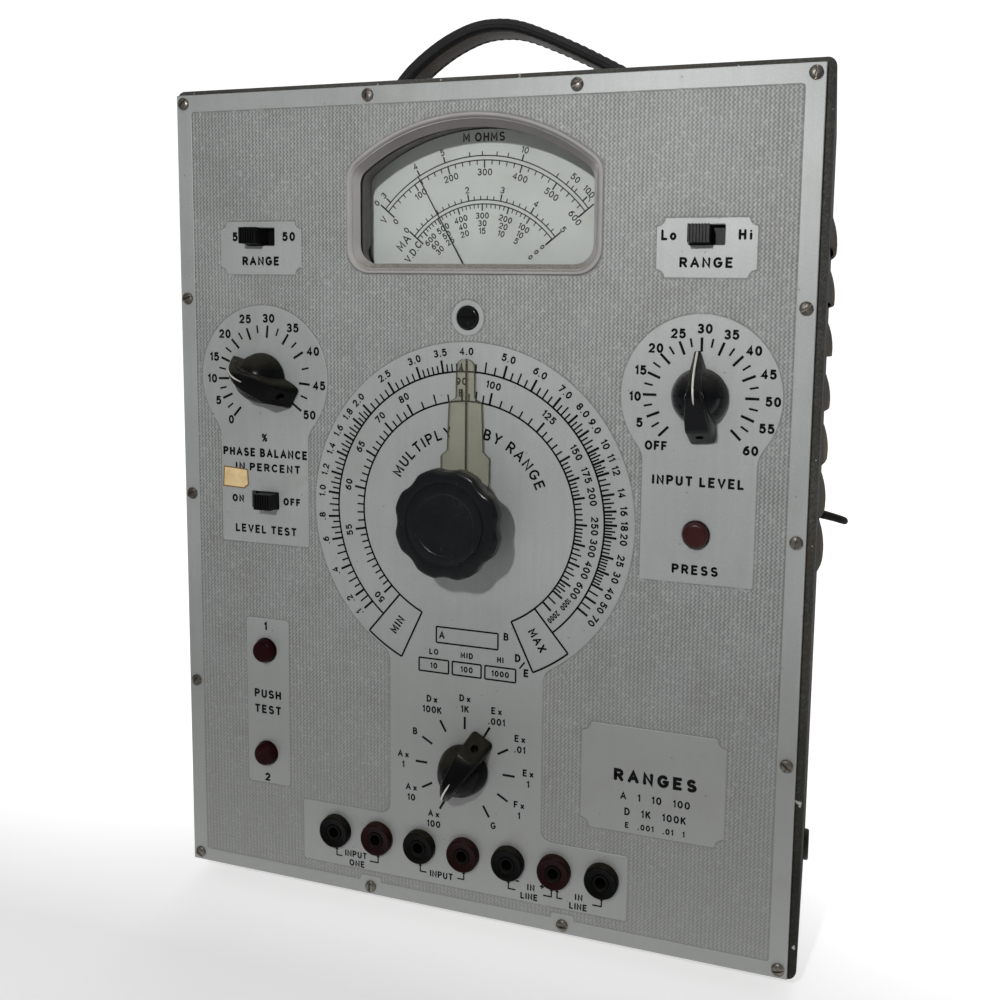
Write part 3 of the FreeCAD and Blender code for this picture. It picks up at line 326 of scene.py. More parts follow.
# Engraver's letters: the width of each and its strokes, for a height of 1.
SIX = bow(0.62, 0.31, 0.62, 0.69, 97, 180) + bow(0.31, 0.31, 0.31, 0.31, 180, -180)
STROKES = {
    "0": (0.62, [bow(0.31, 0.5, 0.31, 0.5, 90, 450)]),
    "1": (0.2, [[(0.0, 0.80), (0.2, 1.0), (0.2, 0.0)]]),
    "2": (0.6, [bow(0.3, 0.71, 0.29, 0.29, 165, -38) + [(0.0, 0.0), (0.6, 0.0)]]),
    "3": (0.6, [bow(0.29, 0.755, 0.27, 0.245, 150, -90), bow(0.29, 0.255, 0.31, 0.255, 90, -150)]),
    "4": (0.64, [[(0.47, 0.0), (0.47, 1.0), (0.0, 0.27), (0.64, 0.27)]]),
    "5": (0.6, [[(0.55, 1.0), (0.09, 1.0), (0.04, 0.56)] + bow(0.28, 0.335, 0.32, 0.335, 125, -150)]),
    "6": (0.62, [SIX]),
    "7": (0.6, [[(0.0, 1.0), (0.6, 1.0), (0.2, 0.0)]]),
    "8": (0.62, [bow(0.31, 0.75, 0.26, 0.25, -90, 270), bow(0.31, 0.25, 0.31, 0.25, 90, 450)]),
    "9": (0.62, [[(0.62 - x, 1.0 - y) for x, y in SIX]]),
    "A": (0.74, [[(0.0, 0.0), (0.37, 1.0), (0.74, 0.0)], [(0.14, 0.34), (0.60, 0.34)]]),
    "B": (0.58, [[(0.0, 0.5), (0.0, 1.0), (0.28, 1.0)] + bow(0.28, 0.76, 0.24, 0.24, 90, -90) + [(0.0, 0.52)],
                 [(0.0, 0.5), (0.0, 0.0), (0.32, 0.0)] + bow(0.32, 0.26, 0.26, 0.26, -90, 90) + [(0.0, 0.52)]]),
    "C": (0.68, [bow(0.38, 0.5, 0.38, 0.5, 48, 312)]),
    "D": (0.64, [[(0.0, 0.5), (0.0, 1.0), (0.2, 1.0)] + bow(0.24, 0.5, 0.40, 0.5, 90, -90) + [(0.0, 0.0), (0.0, 0.5)]]),
    "E": (0.54, [[(0.54, 1.0), (0.0, 1.0), (0.0, 0.0), (0.54, 0.0)], [(0.0, 0.52), (0.46, 0.52)]]),
    "F": (0.52, [[(0.52, 1.0), (0.0, 1.0), (0.0, 0.0)], [(0.0, 0.52), (0.44, 0.52)]]),
    "G": (0.74, [bow(0.38, 0.5, 0.38, 0.5, 48, 335) + [(0.74, 0.46), (0.44, 0.46)]]),
    "H": (0.6, [[(0.0, 0.0), (0.0, 1.0)], [(0.6, 0.0), (0.6, 1.0)], [(0.0, 0.52), (0.6, 0.52)]]),
    "I": (0.0, [[(0.0, 0.0), (0.0, 1.0)]]),
    "K": (0.6, [[(0.0, 0.0), (0.0, 1.0)], [(0.56, 1.0), (0.0, 0.38)], [(0.2, 0.6), (0.6, 0.0)]]),
    "L": (0.5, [[(0.0, 1.0), (0.0, 0.0), (0.5, 0.0)]]),
    "M": (0.76, [[(0.0, 0.0), (0.0, 1.0), (0.38, 0.25), (0.76, 1.0), (0.76, 0.0)]]),
    "N": (0.62, [[(0.0, 0.0), (0.0, 1.0), (0.62, 0.0), (0.62, 1.0)]]),
    "O": (0.76, [bow(0.38, 0.5, 0.38, 0.5, 90, 450)]),
    "P": (0.58, [[(0.0, 0.0), (0.0, 1.0), (0.31, 1.0)] + bow(0.31, 0.74, 0.27, 0.26, 90, -90) + [(0.0, 0.48)]]),
    "R": (0.6, [[(0.0, 0.0), (0.0, 1.0), (0.31, 1.0)] + bow(0.31, 0.74, 0.27, 0.26, 90, -90) + [(0.0, 0.48)], [(0.3, 0.48), (0.6, 0.0)]]),
    "S": (0.6, [bow(0.3, 0.75, 0.27, 0.25, 40, 262) + bow(0.3, 0.255, 0.3, 0.255, 82, -145)]),
    "T": (0.62, [[(0.0, 1.0), (0.62, 1.0)], [(0.31, 1.0), (0.31, 0.0)]]),
    "U": (0.6, [[(0.0, 1.0), (0.0, 0.32)] + bow(0.3, 0.3, 0.3, 0.3, 180, 360) + [(0.6, 1.0)]]),
    "V": (0.7, [[(0.0, 1.0), (0.35, 0.0), (0.7, 1.0)]]),
    "X": (0.64, [[(0.0, 0.0), (0.64, 1.0)], [(0.0, 1.0), (0.64, 0.0)]]),
    "Y": (0.66, [[(0.0, 1.0), (0.33, 0.46), (0.66, 1.0)], [(0.33, 0.46), (0.33, 0.0)]]),
    "x": (0.46, [[(0.0, 0.0), (0.46, 0.6)], [(0.0, 0.6), (0.46, 0.0)]]),
    "o": (0.5, [bow(0.25, 0.31, 0.25, 0.31, 90, 450)]),
    "i": (0.0, [[(0.0, 0.0), (0.0, 0.62)], [(0.0, 0.90), (0.0, 0.92)]]),
    "%": (0.7, [[(0.06, 0.0), (0.64, 1.0)], bow(0.15, 0.77, 0.14, 0.2, 90, 450), bow(0.55, 0.23, 0.14, 0.2, 90, 450)]),
    "+": (0.6, [[(0.0, 0.5), (0.6, 0.5)], [(0.3, 0.2), (0.3, 0.8)]]),
    "-": (0.45, [[(0.0, 0.48), (0.45, 0.48)]]),
    ".": (0.04, [[(0.0, 0.0), (0.04, 0.0)]]),
    "/": (0.5, [[(0.0, 0.0), (0.5, 1.0)]]),
}


def ribbon(path, w):
    """A line of width w along a path, with softly rounded ends: flat points and faces."""
    p = [np.array(path[0], float)]
    for q in path[1:]:
        if np.hypot(*(np.array(q) - p[-1])) > 1e-4:
            p.append(np.array(q, float))
    shut = len(p) > 3 and np.hypot(*(p[0] - p[-1])) < 1e-3
    p = np.array(p[:-1] if shut else p)
    if shut:
        d1, d2 = p - np.roll(p, 1, 0), np.roll(p, -1, 0) - p
    else:
        e = p[1:] - p[:-1]
        d1, d2 = np.vstack([e[:1], e]), np.vstack([e, e[-1:]])
    d1 = d1 / np.linalg.norm(d1, axis=1)[:, None]
    d2 = d2 / np.linalg.norm(d2, axis=1)[:, None]
    t = d1 + d2
    t = t / np.maximum(np.linalg.norm(t, axis=1), 1e-6)[:, None]
    nv = np.stack([-t[:, 1], t[:, 0]], 1)
    mit = 1.0 / np.maximum(np.abs(nv[:, 0] * -d1[:, 1] + nv[:, 1] * d1[:, 0]), 0.55)
    off = nv * (w / 2 * mit)[:, None]
    left, right = list(p + off), list(p - off)
    if not shut:
        a, b = p[0] - d1[0] * w * 0.36, p[-1] + d2[-1] * w * 0.36
        left = [a + nv[0] * w * 0.27] + left + [b + nv[-1] * w * 0.27]
        right = [a - nv[0] * w * 0.27] + right + [b - nv[-1] * w * 0.27]
    n = len(left)
    v = np.array([q for pair in zip(left, right) for q in pair])
    f = [(2 * i + 1, 2 * ((i + 1) % n) + 1, 2 * ((i + 1) % n), 2 * i) for i in range(n if shut else n - 1)]
    return v, f


def spread(s, h, w, xs, gap):
    """(letter, left edge, width) of each letter, and the whole width, in mm."""
    x, out = 0.0, []
    for c in s:
        if c == " ":
            x += h * 0.42
            continue
        cw = STROKES[c][0] * (h - w) * xs + w
        out.append((c, x, cw))
        x += cw + gap * h
    return out, x - gap * h


def letters(g, s, x, z, h, y0, turn=0.0, xs=1.0, gap=0.2, w=0.42, m=0, deep=0.03, align=0.5):
    """s with its middle (or its left or right end) at (x, z); the letters are thin solid strokes."""
    out, wide = spread(s, h, w, xs, gap)
    k = h - w
    ca, sa = math.cos(math.radians(turn)), math.sin(math.radians(turn))
    for c, left, cw in out:
        for j, path in enumerate(STROKES[c][1]):
            v, f = ribbon([(left - wide * align + w / 2 + px * k * xs, py * k + w / 2 - h / 2) for px, py in path], w)
            flat(g, x + v[:, 0] * ca - v[:, 1] * sa, z + v[:, 0] * sa + v[:, 1] * ca, f, y0 - 0.002 * j, deep, m)


def flat(g, X, Z, f, y0, deep, m):
    """Flat faces at y0 with a thin edge going back."""
    n = len(X)
    v = np.concatenate([np.stack([X, np.full(n, y0), Z], 1), np.stack([X, np.full(n, y0 + deep), Z], 1)])
    count = {}
    for q in f:
        for i in range(len(q)):
            e = (q[i], q[(i + 1) % len(q)])
            count[e] = count.get(e, 0) + 1
    side = [(a, a + n, b + n, b) for (a, b) in count if (b, a) not in count]
    g.add(v, list(f) + side, m)


def arc_letters(g, s, cx, cz, r, mid, h, y0, xs=1.0, gap=0.26, w=0.42, m=0, deep=0.03):
    """s along a circle, read clockwise, its middle at the angle mid."""
    out, wide = spread(s, h, w, xs, gap)
    for c, left, cw in out:
        a = math.radians(mid) - (left + cw / 2 - wide / 2) / r
        letters(g, c, cx + r * math.cos(a), cz + r * math.sin(a), h, y0, math.degrees(a) - 90, xs, gap, w, m, deep)


# ------------------------------------------------------------- material library
M = {}


def label_metal():
    s = Shader("label_metal")
    big = s.noise(22.0, 5.0, 0.62)
    base = s.ramp(big, [(0.30, (0.435, 0.452, 0.450, 1)), (0.52, (0.475, 0.492, 0.488, 1)), (0.74, (0.51, 0.525, 0.52, 1))])
    streak = s.noise(420.0, 2.0, 0.6, stretch=(1.0, 1.0, 0.035))
    base = s.over(s.grey(streak, 0.40, 0.0, 0.66, 0.16), base, (0.35, 0.365, 0.372, 1))
    fine = s.noise(2600.0, 2.0, 0.7)
    base = s.over(s.grey(fine, 0.48, 0.0, 0.70, 0.46), base, (0.30, 0.31, 0.31, 1))
    grit = s.noise(1150.0, 3.0, 0.7, shift=(0.3, 0.2, 0.1))
    base = s.over(s.grey(grit, 0.56, 0.0, 0.70, 0.30), base, (0.62, 0.635, 0.63, 1))
    # painted shade: the plates grow darker towards the bottom, as the light falls off there
    base = s.over(s.math("MULTIPLY", s.axis(2, 0.138, 0.085), 0.64), base, (0.30, 0.305, 0.295, 1))
    stain = s.noise(38.0, 6.0, 0.68, shift=(0.2, 0.0, 0.4), distort=0.4)
    base = s.over(s.grey(stain, 0.56, 0.0, 0.78, 0.34), base, (0.32, 0.31, 0.27, 1))
    spot = s.cells(150.0)
    base = s.over(s.grey(spot, 0.035, 0.55, 0.075, 0.0), base, (0.20, 0.195, 0.18, 1))
    nick = s.cells(54.0, stretch=(1.0, 1.0, 0.6))
    base = s.over(s.grey(nick, 0.012, 0.6, 0.022, 0.0), base, (0.62, 0.63, 0.63, 1))
    s.bump(streak, 0.08, 0.00004)
    s.bump(fine, 0.10, 0.00004)
    return s.put(base=base, rough=s.grey(big, 0.3, 0.47, 0.7, 0.56), metal=0.28, spec=0.4)


def ground_metal():
    s = Shader("ground_metal")
    big = s.noise(26.0, 5.0, 0.62)
    base = s.ramp(big, [(0.30, (0.44, 0.456, 0.456, 1)), (0.55, (0.485, 0.50, 0.50, 1)), (0.75, (0.52, 0.533, 0.53, 1))])
    down = s.noise(150.0, 3.0, 0.6, stretch=(1.0, 1.0, 0.06), shift=(0.3, 0.0, 0.1))
    base = s.over(s.grey(down, 0.52, 0.0, 0.72, 0.20), base, (0.33, 0.325, 0.30, 1))
    # dirt lies in the hollows of the pattern; their darkening is also painted shade
    low = s.axis(1, -0.037305, -0.037195)
    dirt = s.noise(60.0, 6.0, 0.7, shift=(0.1, 0.3, 0.2), distort=0.3)
    base = s.over(s.math("MULTIPLY", low, s.grey(dirt, 0.35, 0.70, 0.7, 0.95)), base, (0.19, 0.193, 0.185, 1))
    base = s.over(s.grey(dirt, 0.56, 0.0, 0.76, 0.26), base, (0.30, 0.293, 0.262, 1))
    speck = s.noise(900.0, 2.0, 0.6)
    base = s.over(s.grey(speck, 0.55, 0.0, 0.72, 0.42), base, (0.62, 0.63, 0.62, 1))
    # painted shade: darker towards the bottom, as the light falls off there
    base = s.over(s.math("MULTIPLY", s.axis(2, 0.16, 0.03), 0.56), base, (0.26, 0.265, 0.255, 1))
    spark = s.cells(85.0)
    base = s.over(s.grey(spark, 0.015, 0.7, 0.026, 0.0), base, (0.76, 0.77, 0.76, 1))
    s.bump(speck, 0.08, 0.00005)
    return s.put(base=base, rough=s.grey(big, 0.3, 0.55, 0.7, 0.66), metal=0.22, spec=0.3)


def valley_metal():
    s = Shader("valley_metal")
    big = s.noise(24.0, 5.0, 0.62)
    base = s.ramp(big, [(0.30, (0.21, 0.215, 0.215, 1)), (0.72, (0.27, 0.275, 0.272, 1))])
    dirt = s.noise(55.0, 6.0, 0.7, shift=(0.1, 0.3, 0.2), distort=0.3)
    base = s.over(s.grey(dirt, 0.50, 0.0, 0.74, 0.6), base, (0.16, 0.145, 0.11, 1))
    fine = s.noise(1800.0, 2.0, 0.6)
    s.bump(fine, 0.15, 0.00005)
    return s.put(base=base, rough=s.grey(dirt, 0.3, 0.55, 0.7, 0.75), metal=0.25, spec=0.4)


def case_paint():
    s = Shader("case_paint")
    big = s.noise(30.0, 5.0, 0.6)
    base = s.ramp(big, [(0.3, rgb(74, 74, 72)), (0.7, rgb(96, 95, 92))])
    wr = s.cells(780.0, "F1", "Distance")
    wn = s.noise(1100.0, 4.0, 0.65, distort=0.8)
    base = s.over(s.grey(wn, 0.42, 0.45, 0.60, 0.0), base, rgb(36, 36, 33))
    base = s.over(s.grey(wn, 0.58, 0.0, 0.74, 0.34), base, rgb(122, 121, 113))
    # brownish dirt round the louvres, and painted shade low down
    d = s.noise(40.0, 5.0, 0.65, shift=(0.4, 0.1, 0.2))
    base = s.over(s.grey(d, 0.52, 0.0, 0.74, 0.45), base, rgb(84, 74, 58))
    # painted shade: the paint grows darker towards the bottom
    base = s.over(s.math("MULTIPLY", s.axis(2, 0.17, 0.05), 0.66), base, rgb(29, 29, 23))
    # the louvres are browner, and painted darker as shade
    out = s.math("MAXIMUM", s.axis(0, 0.1196, 0.1208), s.axis(0, -0.1285, -0.1297))
    base = s.over(s.math("MULTIPLY", out, 0.8), base, s.ramp(d, [(0.36, rgb(58, 51, 42)), (0.66, rgb(108, 93, 71))]))
    # bare metal where the front edge is knocked
    edge = s.axis(1, -0.0325, -0.0347)
    ch = s.noise(155.0, 3.0, 0.6, shift=(0.05, 0.4, 0.13), distort=0.5)
    chip = s.math("MULTIPLY", edge, s.grey(ch, 0.655, 0.0, 0.675, 1.0))
    base = s.over(chip, base, rgb(196, 196, 190))
    s.bump(wn, 0.55, 0.00022)
    s.bump(wr, 0.25, 0.00016)
    return s.put(base=base, rough=s.grey(wn, 0.3, 0.6, 0.7, 0.8), spec=0.02,
                 metal=s.grey(chip, 0.2, 0.0, 0.8, 0.7))


def bakelite(name, c1, c2, rough=(0.2, 0.34), dust=None, amount=0.5, scratch=0.15, lying=None, spec=0.28):
    """Moulded black: dust everywhere, or only on what looks up when lying is given."""
    s = Shader(name)
    big = s.noise(90.0, 4.0, 0.6)
    base = s.ramp(big, [(0.3, c1), (0.7, c2)])
    fine = s.noise(1500.0, 3.0, 0.65)
    hair = s.noise(700.0, 2.0, 0.5, stretch=(1.0, 0.15, 0.3), shift=(0.1, 0.1, 0.1))
    base = s.over(s.grey(hair, 0.68, 0.0, 0.74, scratch), base, (0.16, 0.16, 0.15, 1))
    shine = s.grey(big, 0.3, rough[0], 0.7, rough[1])
    if dust:
        d = s.noise(260.0, 5.0, 0.7, distort=0.3)
        mask = s.grey(d, 0.30, amount * 0.35, 0.66, amount)
        if lying:
            mask = s.math("MULTIPLY", mask, s.up(*lying))
            shine = s.math("MAXIMUM", shine, s.grey(mask, 0.1, 0.0, 0.5, 0.62))
        base = s.over(mask, base, dust)
    s.bump(fine, 0.06, 0.00005)
    return s.put(base=base, rough=shine, spec=spec)


def glass_sheet():
    s = Shader("meter_glass_clear")
    t = s.new("ShaderNodeBsdfTransparent")
    t.inputs[0].default_value = (0.95, 0.96, 0.955, 1)
    g = s.new("ShaderNodeBsdfGlossy")
    g.inputs["Color"].default_value = (1, 1, 1, 1)
    n = s.noise(70.0, 4.0, 0.6)
    s.link(s.grey(n, 0.3, 0.03, 0.7, 0.09), g.inputs["Roughness"])
    mx = s.new("ShaderNodeMixShader")
    sm = s.noise(34.0, 5.0, 0.65, shift=(0.2, 0.1, 0.3))
    s.link(s.grey(sm, 0.35, 0.020, 0.75, 0.038), mx.inputs[0])
    s.link(t.outputs[0], mx.inputs[1])
    s.link(g.outputs[0], mx.inputs[2])
    s.link(mx.outputs[0], s.out.inputs[0])
    s.t.nodes.remove(s.b)
    return s.m


def celluloid(name, tint, body, amount):
    s = Shader(name)
    n = s.noise(60.0, 4.0, 0.6)
    t = s.new("ShaderNodeBsdfTransparent")
    s.link(s.ramp(n, [(0.3, tint), (0.7, tuple(0.94 * c for c in tint[:3]) + (1,))]), t.inputs[0])
    s.put(base=s.ramp(n, [(0.3, body), (0.7, tuple(0.85 * c for c in body[:3]) + (1,))]),
          rough=s.grey(n, 0.3, 0.22, 0.7, 0.36), spec=0.5)
    mx = s.new("ShaderNodeMixShader")
    s.link(s.grey(n, 0.3, amount, 0.7, amount * 1.25), mx.inputs[0])
    s.link(t.outputs[0], mx.inputs[1])
    s.link(s.b.outputs[0], mx.inputs[2])
    s.link(mx.outputs[0], s.out.inputs[0])
    return s.m


def bezel_paint():
    s = Shader("bezel_paint")
    big = s.noise(70.0, 4.0, 0.6)
    base = s.ramp(big, [(0.3, rgb(164, 161, 160)), (0.7, rgb(178, 175, 174))])
    fine = s.noise(1500.0, 3.0, 0.65)
    dust = s.math("MULTIPLY", s.up(0.25, 0.75), s.grey(fine, 0.35, 0.35, 0.65, 0.9))
    base = s.over(dust, base, rgb(106, 100, 82))
    # painted shade: faces that look downwards are darker
    base = s.over(s.math("MULTIPLY", s.up(-0.2, -0.62), 0.72), base, rgb(92, 88, 86))
    base = s.over(s.grey(fine, 0.60, 0.0, 0.75, 0.22), base, rgb(120, 115, 110))
    s.bump(fine, 0.12, 0.00006)
    return s.put(base=base, rough=s.grey(big, 0.3, 0.45, 0.7, 0.6), spec=0.4)


def old_screw():
    s = Shader("old_screw")
    big = s.noise(160.0, 4.0, 0.6)
    base = s.ramp(big, [(0.3, rgb(98, 94, 88)), (0.7, rgb(140, 136, 130))])
    rust = s.noise(520.0, 5.0, 0.7, distort=0.3)
    base = s.over(s.grey(rust, 0.46, 0.0, 0.64, 0.85), base, rgb(70, 58, 46))
    s.bump(rust, 0.2, 0.00008)
    return s.put(base=base, rough=s.grey(rust, 0.35, 0.24, 0.65, 0.62), metal=0.85, spec=0.5)


def ink():
    s = Shader("panel_ink")
    n = s.noise(380.0, 4.0, 0.65)
    base = s.ramp(n, [(0.3, (0.003, 0.003, 0.004, 1)), (0.75, (0.010, 0.010, 0.011, 1))])
    w = s.noise(1400.0, 3.0, 0.7, shift=(0.2, 0.1, 0.1))
    base = s.over(s.grey(w, 0.72, 0.0, 0.84, 0.3), base, (0.12, 0.125, 0.13, 1))
    s.bump(w, 0.05, 0.00003)
    return s.put(base=base, rough=s.grey(n, 0.3, 0.5, 0.7, 0.7), spec=0.06)


def leather(name, c1, c2, c3, grain=1300.0):
    s = Shader(name)
    big = s.noise(120.0, 5.0, 0.65)
    base = s.ramp(big, [(0.3, c1), (0.7, c2)])
    cr = s.cells(grain)
    base = s.over(s.grey(cr, 0.25, 0.0, 0.6, 0.35), base, c3)
    s.bump(cr, 0.5, 0.00015)
    f = s.noise(2400.0, 3.0, 0.6)
    s.bump(f, 0.2, 0.00008)
    return s.put(base=base, rough=s.grey(big, 0.3, 0.48, 0.7, 0.72), spec=0.4)


def build_materials():
    M["label"] = label_metal()
    M["ground"] = ground_metal()
    M["valley"] = valley_metal()
    M["case"] = case_paint()
    M["ink"] = ink()
    M["screw"] = old_screw()
    M["bezel"] = bezel_paint()
    M["knob"] = bakelite("knob_black", rgb(19, 20, 22), rgb(27, 28, 30), (0.20, 0.30), rgb(66, 62, 54), 0.3, 0.08, (0.2, 0.9), 0.22)
    M["knob_side"] = bakelite("knob_side", rgb(20, 19, 18), rgb(32, 30, 28), (0.34, 0.5), rgb(84, 77, 66), 0.45)
    M["dusty"] = bakelite("pointer_dusty", rgb(9, 9, 10), rgb(15, 15, 16), (0.22, 0.32), rgb(56, 54, 42), 0.6, 0.06, (0.36, 0.72), 0.1)
    M["clean"] = bakelite("pointer_clean", rgb(9, 10, 13), rgb(15, 16, 20), (0.12, 0.2), rgb(76, 72, 64), 0.42, 0.06, (0.25, 0.95), 0.24)
    M["white"] = plain("pointer_white", rgb(205, 203, 196), rgb(226, 224, 218), 300.0, dirt=rgb(120, 112, 96))
    M["celluloid"] = celluloid("cursor_front", (0.955, 0.95, 0.885, 1), (0.60, 0.59, 0.45, 1), 0.10)
    M["celluloid_back"] = celluloid("cursor_back", (0.985, 0.98, 0.955, 1), (0.6, 0.59, 0.47, 1), 0.02)
    M["celluloid_edge"] = celluloid("cursor_edge", (0.42, 0.41, 0.33, 1), rgb(82, 80, 64), 0.5)
    M["leather"] = leather("strap_top", rgb(17, 17, 19), rgb(29, 29, 31), rgb(44, 44, 46))
    M["leather_under"] = leather("strap_under", rgb(92, 86, 79), rgb(140, 131, 120), rgb(52, 48, 43), 2100.0)
    M["thread"] = plain("strap_thread", rgb(20, 20, 20), rgb(36, 35, 34), 600.0, (0.6, 0.8))
    M["tape"] = plain("old_tape", rgb(232, 200, 146), rgb(246, 218, 166), 120.0, (0.4, 0.6), grain=1600.0,
                      dirt=rgb(196, 158, 100), dirt_scale=160.0)
    M["tape_edge"] = plain("old_tape_edge", rgb(120, 92, 56), rgb(150, 118, 74), 300.0, (0.5, 0.65), grain=1600.0)
    M["shroud"] = plain("meter_shroud", rgb(108, 102, 99), rgb(126, 120, 116), 140.0, (0.55, 0.7), grain=1800.0, bump=0.15,
                        dirt=rgb(84, 77, 69), dirt_scale=200.0)
    M["card"] = plain("meter_card", rgb(226, 229, 227), rgb(236, 238, 236), 60.0, (0.55, 0.7), grain=2600.0, bump=0.05,
                      dirt=rgb(208, 205, 196), dirt_scale=46.0, dirt_amount=0.3)
    M["card_ink"] = plain("meter_ink", (0.012, 0.012, 0.013, 1), (0.03, 0.03, 0.031, 1), 500.0, (0.5, 0.65))
    M["glass"] = glass_sheet()
    M["button"] = bakelite("button_maroon", rgb(50, 13, 17), rgb(64, 20, 22), (0.24, 0.36), rgb(78, 52, 46), 0.14)
    M["button_dark"] = bakelite("button_dark", rgb(29, 6, 9), rgb(41, 9, 12), (0.26, 0.38), rgb(54, 34, 32), 0.08, spec=0.05)
    M["jack_black"] = bakelite("jack_black", rgb(5, 5, 5), rgb(9, 9, 9), (0.30, 0.42), rgb(58, 54, 44), 0.5, 0.05, (0.2, 0.9), 0.05)
    M["jack_red"] = bakelite("jack_red", rgb(23, 6, 7), rgb(33, 9, 10), (0.30, 0.42), rgb(60, 46, 38), 0.5, 0.05, (0.2, 0.9), 0.06)
    # the jack contacts: dark worn metal, painted darker still as the shade deep inside the bores
    M["contact_tarnish_and_shade"] = plain("contact_dark", rgb(9, 8, 7), rgb(18, 16, 13), 300.0, (0.5, 0.65), 0.3, dirt=rgb(6, 6, 5), spec=0.08)
    M["slider"] = bakelite("slider_black", rgb(10, 10, 12), rgb(17, 17, 19), (0.32, 0.46), rgb(66, 62, 54), 0.24, 0.08, (0.2, 0.9), 0.2)
    M["dark_plastic"] = bakelite("inner_bakelite", rgb(30, 24, 20), rgb(46, 37, 30), (0.4, 0.55), rgb(80, 70, 56), 0.3)
    M["zero"] = bakelite("zero_black", rgb(14, 14, 15), rgb(24, 24, 25), (0.12, 0.2))
    M["rubber"] = plain("black_rubber_aged", rgb(24, 23, 22), rgb(42, 40, 37), 200.0, (0.6, 0.8), grain=1500.0, bump=0.25,
                        dirt=rgb(74, 66, 54), dirt_scale=120.0)
    M["steel"] = plain("steel_worn", rgb(140, 140, 138), rgb(172, 172, 168), 160.0, (0.28, 0.42), 0.9, dirt=rgb(88, 78, 64))
    M["bracket"] = plain("bracket_worn", rgb(96, 94, 90), rgb(134, 131, 126), 140.0, (0.34, 0.5), 0.85, grain=1200.0, bump=0.15,
                         dirt=rgb(70, 60, 48), dirt_scale=150.0)
    M["chassis"] = plain("chassis_plate", rgb(138, 136, 128), rgb(160, 158, 150), 60.0, (0.35, 0.5), 0.7, dirt=rgb(104, 92, 72))
    M["iron"] = plain("core_iron", rgb(58, 55, 52), rgb(82, 78, 73), 120.0, (0.5, 0.65), 0.5, grain=1400.0, bump=0.2, dirt=rgb(92, 66, 44))
    M["paper"] = plain("coil_paper", rgb(150, 118, 74), rgb(178, 146, 98), 80.0, (0.6, 0.75), grain=1800.0, bump=0.12, dirt=rgb(100, 74, 44))
    M["copper"] = plain("coil_copper_wire", rgb(150, 88, 52), rgb(178, 110, 66), 400.0, (0.3, 0.42), 0.85, grain=2600.0, bump=0.3)
    M["tube"] = plain("tube_envelope", rgb(96, 100, 100), rgb(128, 132, 130), 90.0, (0.08, 0.16), 0.2, dirt=rgb(60, 58, 54))
    M["can"] = plain("capacitor_can", rgb(160, 160, 158), rgb(184, 184, 180), 90.0, (0.3, 0.42), 0.85, dirt=rgb(112, 104, 90))
    M["wax"] = plain("capacitor_wax", rgb(172, 132, 62), rgb(198, 158, 84), 140.0, (0.3, 0.48), grain=900.0, dirt=rgb(112, 84, 40))
    M["phenolic"] = plain("board_brown", rgb(92, 58, 34), rgb(116, 76, 46), 120.0, (0.4, 0.55), grain=1800.0, bump=0.1, dirt=rgb(64, 44, 28))
    M["resistor"] = plain("resistor_brown", rgb(84, 54, 36), rgb(108, 74, 50), 300.0, (0.45, 0.6), dirt=rgb(56, 40, 28))
    M["needle"] = plain("needle_black", (0.006, 0.006, 0.006, 1), (0.014, 0.014, 0.014, 1), 500.0, (0.5, 0.6))


build_materials()

FINISH = {
    "cabinet_shell": "case", "front_panel": "valley", "rubber_feet": "rubber", "foot_screws": "steel",
    "cord_grommet": "rubber", "lead_stub": "rubber", "handle_brackets": "bracket", "handle_screws": "screw",
    "handle_ferrules": "bracket", "meter_glass": "glass", "meter_dial_card": "card", "meter_case": "dark_plastic",
    "meter_magnet": "iron", "meter_pointer": "needle", "meter_coil": "copper", "zero_adjuster": "zero",
    "main_shaft": "steel", "factor_shaft": "steel", "gain_shaft": "steel", "selector_shaft": "steel",
    "main_set_screw": "steel", "factor_set_screw": "steel", "gain_set_screw": "steel", "selector_set_screw": "steel",
    "main_potentiometer": "dark_plastic", "factor_potentiometer": "dark_plastic", "gain_potentiometer": "dark_plastic",
    "selector_switch": "phenolic", "control_nuts": "steel", "current_slider": "slider", "volts_slider": "slider",
    "check_slider": "slider", "slide_switch_bodies": "dark_plastic", "volts_button": "button",
    "short_button_upper": "button_dark", "short_button_lower": "button_dark", "button_housings": "dark_plastic",
    "jack_shells_black": "jack_black", "jack_shells_red": "jack_red", "jack_contacts": "contact_tarnish_and_shade", "jack_nuts": "steel",
    "chassis": "chassis", "transformer_core": "iron", "transformer_coil": "paper", "tube_sockets": "dark_plastic",
    "rectifier_tube": "tube", "detector_tube": "tube", "filter_capacitor": "can", "paper_capacitors": "wax",
    "resistor_board": "phenolic", "resistors": "resistor", "meter_bezel": "bezel", "main_knob": "knob",
    "main_cursor": "celluloid", "factor_knob": "knob", "gain_knob": "knob", "selector_knob": "knob",
    "panel_screws": "screw", "handle_strap": "leather",
}
for nm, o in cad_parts.items():
    o.data.materials.clear()
    o.data.materials.append(M[FINISH[nm]])
    o.data.polygons.foreach_set("material_index", np.zeros(len(o.data.polygons), np.int32))
    o.data.polygons.foreach_set("use_smooth", np.ones(len(o.data.polygons), bool))
    o.data.set_sharp_from_angle(angle=math.radians(28))

